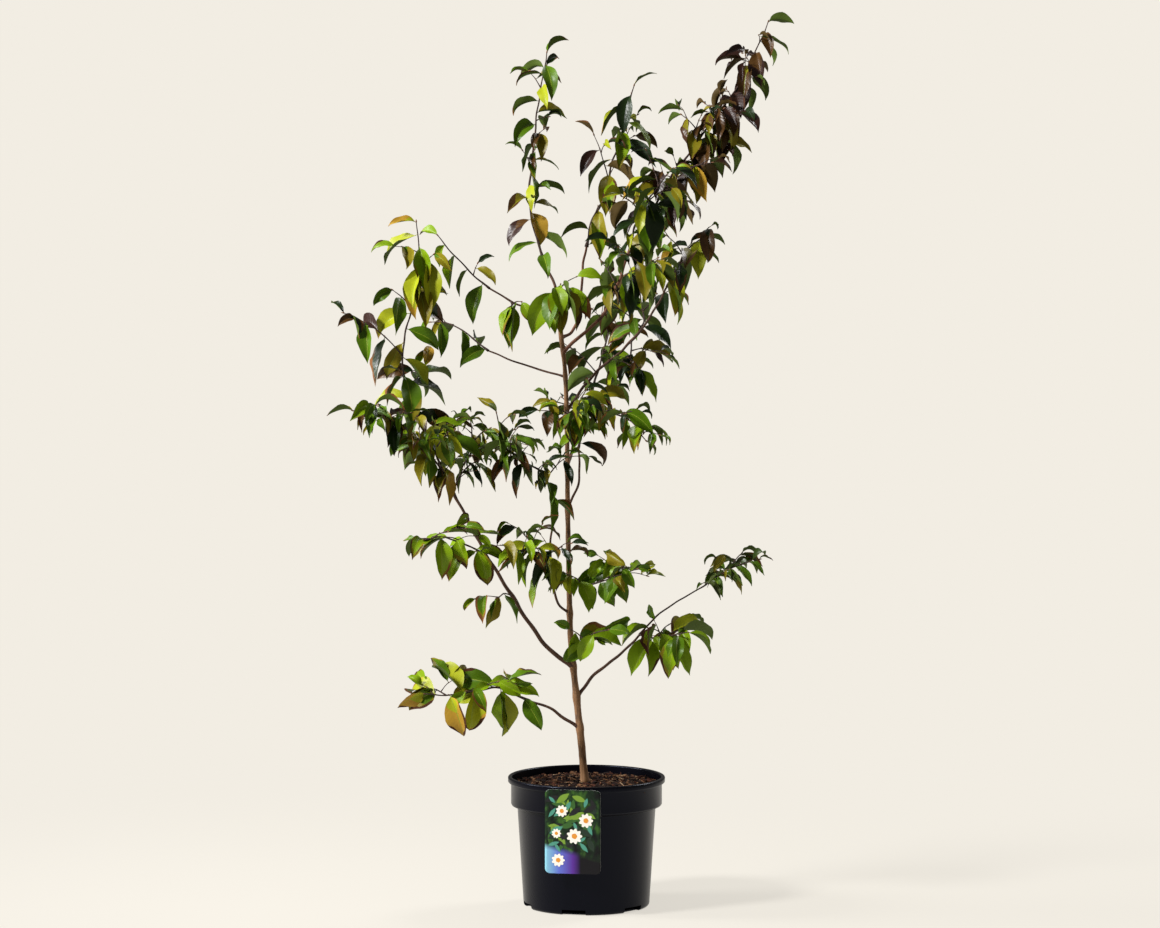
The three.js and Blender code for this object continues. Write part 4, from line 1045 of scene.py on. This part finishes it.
def add_foliage(leaves, twigs, mass, limbs, indexes):
    chance = random.Random(mass["seed"])
    axes = axes_of(mass, limbs)
    for limb, bare, seed in axes:
        along = leaves_along(limb, bare, seed, mass)
        if limb is axes[0][0] and mass["gold"]:
            along[mass["gold"]].update(GOLD_LEAF)
        add_spray(leaves, twigs, limb, along, seed, mass, chance, indexes)
    small = dict(mass, leaf=mass["leaf"] * FINE_LEAF, gap=FINE_GAP, hang=mass["hang"] * FINE_HANG)
    for limb in fine_twigs(mass, axes):
        seed = chance.randrange(99999)
        along = leaves_along(limb, FINE_BARE, seed, small)
        add_spray(leaves, twigs, limb, along, seed, small, chance, indexes, FINE_DRYNESS)


def add_bud(gathered, foot, ahead, length):
    """A small pointed bud."""
    rings, reaches = np.array(BUD_SHAPE).T
    points = foot + ahead * (rings * length)[:, None]
    reaches = reaches * BUD_RADIUS * length / BUD_LENGTH
    reaches = np.repeat(reaches[:, None], BUD_SIDES, axis=1)
    gathered.add(*tube(points, reaches, BUD_SIDES), marks=1)


def add_twig(gathered, limb, shares, seed):
    """A twig with a bud at each leaf's foot."""
    chance = random.Random(seed)
    children = [share for share in shares if share < 1]
    add_limb(gathered, limb, TWIG_SIDES, TWIG_STEP, TWIG_RELIEF, children)
    for share in children:
        side = np.array([chance.uniform(-1, 1), chance.uniform(-1, 1), BUD_RISE])
        ahead = unit(limb.tangent(share) + BUD_LEAN * unit(side))
        add_bud(gathered, limb.point(share), ahead, BUD_LENGTH * chance.uniform(*BUD_SIZES))
    add_bud(gathered, limb.point(1), limb.tangent(NEAR_TIP), BUD_LENGTH * END_BUD)


# Materials
def linear(colour):
    """A colour from 0 to 255 turned into Blender's linear one."""
    shares = [part / 255 for part in colour]
    return [*(part / 12.92 if part <= 0.04045 else ((part + 0.055) / 1.055) ** 2.4 for part in shares), 1]


def feed(tree, sockets, values):
    """Sets each socket, or links it where the value comes from a node."""
    for name, value in values.items():
        if isinstance(value, bpy.types.NodeSocket):
            tree.links.new(value, sockets[name])
        else:
            sockets[name].default_value = value


def node(tree, kind, values=(), **settings):
    """The outputs of a new node."""
    made = tree.nodes.new(kind)
    for name, setting in settings.items():
        setattr(made, name, setting)
    feed(tree, made.inputs, dict(values))
    return made.outputs


def mix_surfaces(tree, factor, first, second, output):
    mixed = node(tree, "ShaderNodeMixShader", {"Fac": factor, 1: first, 2: second})
    tree.links.new(mixed["Shader"], tree.nodes[output].inputs["Surface"])


class Surface:
    """A material, its shader and the nodes that feed it."""

    def __init__(self, name, colour, roughness):
        self.material = bpy.data.materials.new(name)
        self.material.use_nodes = True
        self.tree = self.material.node_tree
        self.shader = self.tree.nodes["Principled BSDF"]
        self.finish({"Base Color": linear(colour), "Roughness": roughness})

    def finish(self, values):
        feed(self.tree, self.shader.inputs, values)
        return self.material

    def place(self, stretch=(1, 1, 1)):
        place = node(self.tree, "ShaderNodeTexCoord")["Object"]
        return node(self.tree, "ShaderNodeMapping", {"Vector": place, "Scale": stretch})["Vector"]

    def noise(self, place, scale, detail=4.0, roughness=0.55):
        values = {"Vector": place, "Scale": scale, "Detail": detail, "Roughness": roughness}
        return node(self.tree, "ShaderNodeTexNoise", values)["Fac"]

    def ramp(self, factor, stops):
        made = self.tree.nodes.new("ShaderNodeValToRGB")
        elements = made.color_ramp.elements
        while len(elements) < len(stops):
            elements.new(0.5)
        for element, (position, colour) in zip(elements, stops):
            element.position = position
            element.color = linear(colour)
        self.tree.links.new(factor, made.inputs["Fac"])
        return made.outputs["Color"]

    def spread(self, factor, low, high):
        values = {"Value": factor, "To Min": low, "To Max": high}
        return node(self.tree, "ShaderNodeMapRange", values)["Result"]

    def compute(self, operation, *terms):
        return node(self.tree, "ShaderNodeMath", enumerate(terms), operation=operation)["Value"]

    def bump(self, height, strength, distance):
        values = {"Height": height, "Strength": strength, "Distance": distance}
        return node(self.tree, "ShaderNodeBump", values)["Normal"]

    def chart(self):
        """The mesh's own chart, whole and as its two parts."""
        chart = node(self.tree, "ShaderNodeUVMap", uv_map="Chart")["UV"]
        parts = node(self.tree, "ShaderNodeSeparateXYZ", {"Vector": chart})
        return chart, parts["X"], parts["Y"]


def bark_material(name, stops, grain=420):
    """Bark with streaks along the limb, finer than the relief of the mesh."""
    bark = Surface(name, stops[1][1], 0.8)
    streaks = bark.noise(bark.place((1, 1, 0.16)), grain, 6, 0.62)
    patches = bark.noise(bark.place((1, 1, 0.45)), grain / 7, 3)
    halved = bark.spread(bark.compute("ADD", streaks, patches), 0, 0.5)
    return bark.finish({
        "Base Color": bark.ramp(halved, stops),
        "Roughness": bark.spread(streaks, 0.65, 0.95),
        "Normal": bark.bump(streaks, 0.5, 0.0012),
    })


def leaf_material(name, colour, roughness, relief, sheen):
    """One plain tint of leaf, with the relief of its side veins."""
    leaf = Surface(name, colour, roughness)
    mottle = leaf.noise(leaf.place(), 90, 2)
    _, across, along = leaf.chart()
    rise = leaf.compute("MULTIPLY_ADD", leaf.compute("ABSOLUTE", across), VEIN_SLANT, along)
    ridge = leaf.compute("SINE", leaf.compute("MULTIPLY", rise, VEINS))
    return leaf.finish({
        "Roughness": leaf.spread(mottle, roughness - 0.1, roughness + 0.1),
        "Specular IOR Level": sheen,
        "Normal": leaf.bump(ridge, relief, 0.0006),
    })


def foliage_materials():
    materials = []
    indexes = {}
    for tints, roughness in LEAF_ROUGHNESS:
        for name, colour in tints.items():
            indexes[name] = len(materials)
            relief, sheen = (0.1, 0.3) if name in PLAIN_TINTS else (0.05, 0.16)
            materials.append(leaf_material(f"leaf_{name}", colour, roughness, relief, sheen))
    return materials, indexes


def plastic_material():
    plastic = Surface("moulded_black_plastic", (5, 5, 12), 0.36)
    fine = plastic.noise(plastic.place(), 900, 2)
    cloudy = plastic.noise(plastic.place((1, 1, 0.3)), 14, 4)
    return plastic.finish({
        "Base Color": plastic.ramp(cloudy, PLASTIC_TINTS),
        "Roughness": plastic.spread(cloudy, 0.22, 0.34),
        "Specular IOR Level": 0.15,
        "Specular Tint": linear((214, 224, 255)),
        "Normal": plastic.bump(fine, 0.12, 0.0004),
    })


def compost_material(name, stops):
    compost = Surface(name, stops[0][1], 0.95)
    crumbs = compost.noise(compost.place(), 260, 6, 0.7)
    return compost.finish({
        "Base Color": compost.ramp(crumbs, stops),
        "Roughness": compost.spread(crumbs, 0.8, 1),
        "Specular IOR Level": 0.15,
        "Normal": compost.bump(crumbs, 0.9, 0.003),
    })


def card_print():
    """A dark printed ground with a band of blue and violet at its foot."""
    card = Surface("card_ground", (22, 30, 24), 0.3)
    chart, across, up = card.chart()
    wash = card.ramp(across, [
        (0.0, (128, 186, 200)), (0.25, (92, 108, 196)), (0.5, (84, 42, 138)), (0.64, (10, 8, 14)),
    ])
    blur = card.noise(chart, 5, 4)
    hedge = card.ramp(blur, [(0.38, (5, 7, 9)), (0.52, (18, 40, 20)), (0.68, (58, 96, 34))])
    slant = card.compute("MULTIPLY_ADD", across, CARD_BAND_SLANT, up)
    band = {"Value": slant, "From Min": 0.29, "From Max": 0.36}
    above = node(card.tree, "ShaderNodeMapRange", band)["Result"]
    washed = {"Factor": above, "A": wash, "B": hedge}
    mixed = node(card.tree, "ShaderNodeMix", washed, data_type="RGBA")["Result"]
    return card.finish({"Base Color": mixed, "Specular IOR Level": 0.25})


def paper(name, colour, roughness, scale, low, high):
    """A plain printed colour with a fine change of gloss."""
    made = Surface(name, colour, roughness)
    gloss = made.noise(made.place(), scale, 2)
    return made.finish({"Roughness": made.spread(gloss, low, high)})


# The pot and what is in it
def arc(centre, radius, start, end, steps):
    """Places on an arc of a profile, with angles in degrees from the outside."""
    turns = [math.radians(start + (end - start) * step / steps) for step in range(steps + 1)]
    return [(centre[0] + radius * math.cos(turn), centre[1] + radius * math.sin(turn)) for turn in turns]


def pot_profile():
    def inside(radius):
        return radius - POT_WALL

    lip_foot = POT_HEIGHT - LIP_DEPTH
    return [
        (0, 0),
        *arc((BOTTOM_RADIUS - POT_BEVEL, POT_BEVEL), POT_BEVEL, -90, 0, 6),
        (SHOULDER_RADIUS - 0.6, COLLAR_FOOT - COLLAR_STEP - 1),
        (SHOULDER_RADIUS, COLLAR_FOOT - COLLAR_STEP),
        (COLLAR_RADIUS - COLLAR_EDGE, COLLAR_FOOT - COLLAR_EDGE),
        *arc((COLLAR_RADIUS - COLLAR_EDGE, COLLAR_FOOT + COLLAR_EDGE), COLLAR_EDGE, -60, 0, 4),
        (COLLAR_RADIUS, lip_foot - 1.5),
        (COLLAR_RADIUS + COLLAR_RIM, lip_foot),
        *arc((LIP_RADIUS - LIP_ROUND, lip_foot + LIP_ROUND), LIP_ROUND, -60, 0, 4),
        *arc((LIP_RADIUS - LIP_ROUND, POT_HEIGHT - LIP_ROUND), LIP_ROUND, 0, 90, 5),
        *arc((inside(COLLAR_RADIUS) + LIP_ROUND, POT_HEIGHT - LIP_ROUND), LIP_ROUND, 90, 180, 4),
        (inside(COLLAR_RADIUS), COLLAR_FOOT),
        (inside(SHOULDER_RADIUS), COLLAR_FOOT - COLLAR_STEP),
        (inside(BOTTOM_RADIUS), POT_BEVEL + POT_BASE),
        (inside(BOTTOM_RADIUS) - POT_BEVEL, POT_BASE),
        (0, POT_BASE),
    ]


def slot_cutters():
    """One block for each drain slot in the foot of the pot."""
    gathered = Gathered()
    for slot in range(DRAIN_SLOTS):
        turn = 2 * math.pi * slot / DRAIN_SLOTS + math.radians(DRAIN_SLOT_TURN)
        ahead = bearing_to(turn)
        beside = np.array([-ahead[1], ahead[0], 0])
        gathered.add([
            ahead * (DRAIN_SLOT_REACH + DRAIN_SLOT_DEPTH * (1 + a))
            + beside * DRAIN_SLOT_WIDTH / 2 * b + UP * DRAIN_SLOT_HEIGHT * c
            for a, b, c in BOX_CORNERS
        ], BOX_FACES)
    return gathered.piece("slot_cutters", [], smooth=False)


def welded(piece):
    """The same piece with doubled places merged."""
    form = bmesh.new()
    form.from_mesh(piece.data)
    bmesh.ops.remove_doubles(form, verts=form.verts, dist=WELD * MM)
    bmesh.ops.recalc_face_normals(form, faces=form.faces)
    form.to_mesh(piece.data)
    form.free()
    return piece


def build_pot():
    gathered = Gathered()
    gathered.add(*lathe(pot_profile(), POT_SIDES))
    pot = welded(gathered.piece("nursery_pot", [plastic_material()]))
    cutters = slot_cutters()
    cut = pot.modifiers.new("Slots", "BOOLEAN")
    cut.operation = "DIFFERENCE"
    cut.solver = "EXACT"
    cut.object = cutters
    graph = bpy.context.evaluated_depsgraph_get()
    mesh = bpy.data.meshes.new_from_object(pot.evaluated_get(graph))
    pot.modifiers.clear()
    pot.data = mesh
    bpy.data.objects.remove(cutters)
    mesh.polygons.foreach_set("use_smooth", [True] * len(mesh.polygons))
    mesh.set_sharp_from_angle(angle=math.radians(POT_EDGE))
    return pot


def soil_height(side, depth):
    """The lumpy top of the compost."""
    out = math.hypot(side, depth) / SOIL_RADIUS
    lumps = noise.noise(Vector((side / SOIL_LUMP_SPAN, depth / SOIL_LUMP_SPAN, 3)))
    crumbs = noise.noise(Vector((side / SOIL_CRUMB_SPAN, depth / SOIL_CRUMB_SPAN, 8)))
    height = between((SOIL_TOP, SOIL_EDGE_TOP), out)
    return height + SOIL_LUMP * (lumps + SOIL_CRUMB * crumbs) - SOIL_SETTLED


def build_soil():
    gathered = Gathered()
    inside = POT_WALL + 0.5
    lower = [
        (0, SOIL_FOOT),
        (BOTTOM_RADIUS - inside, SOIL_FOOT),
        (SHOULDER_RADIUS - inside, COLLAR_FOOT - COLLAR_STEP),
        (SOIL_RADIUS, COLLAR_FOOT + 0.5),
    ]
    top = [(SOIL_RADIUS * (1 - ring / SOIL_RINGS), SOIL_EDGE_TOP) for ring in range(SOIL_RINGS + 1)]
    places, faces = lathe(lower + top, SOIL_SIDES)
    for place in places:
        if place[2] > COLLAR_FOOT + 10:
            place[2] = soil_height(place[0], place[1])
    gathered.add(places, faces)
    return welded(gathered.piece("compost", [compost_material("compost_crumbs", SOIL_CRUMBS)]))


def build_chips():
    """Shreds of bark and fibre on the compost."""
    chance = random.Random(5)
    gathered = Gathered()
    for _ in range(CHIPS):
        out = (SOIL_RADIUS - 4) * math.sqrt(chance.random())
        turn = chance.uniform(0, 2 * math.pi)
        side, depth = out * math.cos(turn), out * math.sin(turn)
        if math.hypot(side - TRUNK_ROUTE[0][0], depth) < TRUNK_FLARE_RADIUS + 2:
            continue
        fibre = chance.random() < FIBRES
        sizes = FIBRE_SIZES if fibre else CHIP_SIZES
        length = chance.uniform(*sizes["length"])
        width = chance.uniform(*sizes["width"]) * (1 if fibre else length)
        thick = chance.uniform(*sizes["thick"])
        turn = chance.uniform(0, math.pi)
        ahead = unit(bearing_to(turn, chance.uniform(-CHIP_SLOPE, CHIP_SLOPE)))
        beside = unit(np.cross(UP, ahead) + UP * chance.uniform(-CHIP_ROLL, CHIP_ROLL))
        over = np.cross(ahead, beside)
        middle = np.array([side, depth, soil_height(side, depth) + thick / 2])
        places = [
            middle + ahead * length / 2 * a * chance.uniform(*CHIP_CORNERS[0])
            + beside * width / 2 * b * chance.uniform(*CHIP_CORNERS[1]) + over * thick / 2 * c
            for a, b, c in BOX_CORNERS
        ]
        gathered.add(places, BOX_FACES, marks=chance.choice(sizes["kinds"]))
    materials = [compost_material(name, stops) for name, stops in CHIP_CRUMBS.items()]
    return gathered.piece("compost_shreds", materials, smooth=False)


# The card and its print
def card_outline():
    """Half the width of the card at each height, with rounded corners."""
    half = CARD_WIDTH / 2
    turns = [math.pi / 2 * step / 8 for step in range(9)]
    low = [
        (CARD_CORNER * (1 - math.cos(turn)), half - CARD_CORNER * (1 - math.sin(turn)))
        for turn in turns
    ]
    high = [(CARD_HEIGHT - up, reach) for up, reach in reversed(low)]
    straight = CARD_HEIGHT - 2 * CARD_CORNER
    return low + [(CARD_CORNER + straight * step / 12, half) for step in range(1, 12)] + high


def on_card(across, up, rise=0.0):
    """A place on the card's face, in the frame of the whole plant."""
    bow = CARD_BOW * (2 * across / CARD_WIDTH) ** 2
    depth = bow - LIP_RADIUS - CARD_GAP - CARD_THICK - rise
    return (
        across * math.cos(CARD_BEARING) - depth * math.sin(CARD_BEARING),
        across * math.sin(CARD_BEARING) + depth * math.cos(CARD_BEARING),
        CARD_BOTTOM + up,
    )


def card_ground():
    """The card itself, front, back and edge."""
    gathered = Gathered()
    outline = card_outline()
    flat = [
        (half * (2 * column / CARD_STEPS - 1), up)
        for up, half in outline for column in range(CARD_STEPS + 1)
    ]
    places = [on_card(across, up, rise) for rise in (0, -CARD_THICK) for across, up in flat]
    chart = np.array([(across / CARD_WIDTH + 0.5, up / CARD_HEIGHT) for across, up in flat] * 2)
    numbers = np.arange(len(places)).reshape(2, len(outline), -1)
    turned_over = numbers[::-1]
    front = quads(numbers[0])
    rest = quads(numbers[1][:, ::-1]) + quads(numbers[:, :, 0]) + quads(turned_over[:, :, -1])
    rest += quads(turned_over[:, 0]) + quads(numbers[:, -1])
    gathered.add(places, front + rest, [0] * len(front) + [1] * len(rest), chart)
    white = paper("card_edge", (206, 208, 204), 0.4, 500, 0.35, 0.5)
    return gathered.piece("label_card", [card_print(), white])


def print_shape(gathered, middle, points, layer, mark):
    """A flat printed shape on the card, from places round its middle."""
    spots = [(0, 0), *points]
    places = [on_card(middle[0] + x, middle[1] + y, PRINT_RISE * layer) for x, y in spots]
    count = len(points)
    faces = [(0, 1 + step, 1 + (step + 1) % count) for step in range(count)]
    gathered.add(places, faces, marks=mark)


def turned(points, degrees):
    turn = math.radians(degrees)
    return [
        (x * math.cos(turn) - y * math.sin(turn), x * math.sin(turn) + y * math.cos(turn))
        for x, y in points
    ]


def printed_leaf(length, width):
    steps = [step / 8 for step in range(9)]
    side = [(width / 2 * math.sin(math.pi * s), length * (s - 0.5)) for s in steps]
    return side + [(-x, y) for x, y in reversed(side[1:-1])]


def printed_flower(radius, petals, depth):
    points = []
    for step in range(petals * 6):
        turn = 2 * math.pi * step / (petals * 6)
        reach = radius * (1 - depth * abs(math.sin(petals * turn / 2)) ** 3)
        points.append((reach * math.cos(turn), reach * math.sin(turn)))
    return points


def card_motifs():
    """Leaf sprigs and daisies of many petals, in plain inks."""
    chance = random.Random(11)
    gathered = Gathered()
    for index in range(CARD_LEAVES):
        across, up = (chance.uniform(*span) for span in CARD_LEAF_AREA)
        length = chance.uniform(*CARD_LEAF_LENGTHS)
        leaf = printed_leaf(length, length * chance.uniform(*CARD_LEAF_SLIMNESS))
        leaf = turned(leaf, chance.uniform(0, 180))
        ink = index % 5
        print_shape(gathered, (across, up * CARD_HEIGHT), leaf, 1 + ink * 0.2, ink)
    for middle, radius in CARD_FLOWERS:
        print_shape(gathered, middle, printed_flower(radius, **CARD_PETALS), 2.4, 5)
        print_shape(gathered, middle, printed_flower(radius * CARD_EYE_SIZE, **CARD_EYE), 2.8, 6)
    inks = [paper(name, colour, 0.32, 700, 0.26, 0.4) for name, colour in INKS.items()]
    return gathered.piece("card_motifs", inks, smooth=False)


# The whole plant
def slot_nodes():
    """The nodes of each material slot, by the slot's name."""
    nodes = {}
    for row in frame["record"]["subparts"]:
        nodes.setdefault(row["material_slot"], []).append(row["node"])
    return nodes


def settle(piece, slot, *nodes):
    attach(piece, "root")
    if nodes:
        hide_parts(*nodes)


def build_trunk(limbs):
    children = [entry["at"] for entry in BOUGHS]
    gathered = Gathered()
    add_limb(gathered, limbs["trunk"], TRUNK_SIDES, TRUNK_STEP, TRUNK_RELIEF, children, TRUNK_SUNK)
    bark = bark_material("trunk_bark", TRUNK_BARK)
    settle(gathered.piece("trunk_with_bark", [bark]), "trunk_bark", "trunk")


def build_boughs(limbs):
    gathered = Gathered()
    names = [entry["name"] for entry in BOUGHS]
    for name in names:
        children = [mass["at"] for mass in MASSES if mass["on"] == name and mass["at"] < 1]
        mark = int(name in WARM_BOUGHS)
        add_limb(gathered, limbs[name], BOUGH_SIDES, BOUGH_STEP, BOUGH_RELIEF, children, mark=mark)
    barks = [bark_material("bough_bark", DARK_BARK), bark_material("leader_bark", WARM_BARK)]
    settle(gathered.piece("boughs_with_bark", barks), "bough_bark", *names)


def build_foliage(limbs):
    materials, indexes = foliage_materials()
    barks = [bark_material("twig_bark", TWIG_BARK, 600), bark_material("bud_skin", BUD_SKIN, 700)]
    nodes = slot_nodes()
    for slot in ("green_leaves", "dark_leaves", "bronze_leaves"):
        leaves = Gathered()
        twigs = Gathered()
        for mass in MASSES:
            if mass["name"] in nodes[slot]:
                add_foliage(leaves, twigs, mass, limbs, indexes)
        blades = leaves.piece(f"{slot}_blades", materials)
        blades.data.set_sharp_from_angle(angle=math.radians(LEAF_EDGE))
        settle(blades, slot, *nodes[slot])
        settle(twigs.piece(f"{slot}_twigs", barks), "bough_bark", *nodes[slot])


def build_plant():
    limbs = grow_limbs()
    build_trunk(limbs)
    build_boughs(limbs)
    build_foliage(limbs)


def build_pot_and_card():
    settle(build_pot(), "black_plastic", "pot")
    settle(build_soil(), "compost", "soil")
    settle(build_chips(), "compost")
    settle(card_ground(), "printed_card", "plant_card")
    settle(card_motifs(), "printed_card")


# Floor, light and camera
def build_floor():
    form = bmesh.new()
    bmesh.ops.create_circle(form, cap_ends=True, cap_tris=False, segments=128, radius=FLOOR_RADIUS)
    mesh = bpy.data.meshes.new("floor")
    form.to_mesh(mesh)
    form.free()
    ground = Surface("pale_floor", FLOOR_TINT, 0.9)
    tree = ground.tree
    glow = node(tree, "ShaderNodeEmission", {"Color": linear(CREAM)})["Emission"]
    place = node(tree, "ShaderNodeTexCoord")["Object"]
    out = node(tree, "ShaderNodeVectorMath", {0: place}, operation="LENGTH")["Value"]
    values = {"Value": out, **FLOOR_FADE}
    fade = node(tree, "ShaderNodeMapRange", values, interpolation_type="SMOOTHSTEP")["Result"]
    mix_surfaces(tree, fade, ground.shader.outputs["BSDF"], glow, "Material Output")
    mesh.materials.append(ground.material)
    on_scene("floor", mesh)


def world_light():
    """A cream backdrop for the camera, and a dimmer light from all round on the plant."""
    world = bpy.data.worlds.new("studio")
    world.use_nodes = True
    tree = world.node_tree
    backdrop = tree.nodes["Background"]
    feed(tree, backdrop.inputs, {"Color": linear(CREAM)})
    values = {"Color": linear(CREAM), "Strength": FILL_LIGHT}
    fill = node(tree, "ShaderNodeBackground", values)["Background"]
    seen = node(tree, "ShaderNodeLightPath")["Is Camera Ray"]
    mix_surfaces(tree, seen, fill, backdrop.outputs["Background"], "World Output")
    bpy.context.scene.world = world


def build_light():
    world_light()
    for name, place, size, power in LAMPS:
        data = bpy.data.lights.new(name, "AREA")
        data.shape = "DISK"
        data.size = size
        data.energy = power
        lamp = on_scene(name, data)
        lamp.location = place
        lamp.rotation_euler = (LAMP_AIM - Vector(place)).to_track_quat("-Z", "Y").to_euler()


def build_camera():
    data = bpy.data.cameras.new("photo_camera")
    data.lens = CAMERA_LENS
    data.sensor_width = SENSOR_WIDTH
    camera = on_scene("photo_camera", data)
    camera.location = CAMERA_PLACE
    camera.rotation_euler = (math.radians(CAMERA_PITCH), 0, 0)
    bpy.context.scene.camera = camera


build_plant()
build_pot_and_card()
build_floor()
build_light()
build_camera()
bpy.context.scene.view_settings.view_transform = "Standard"
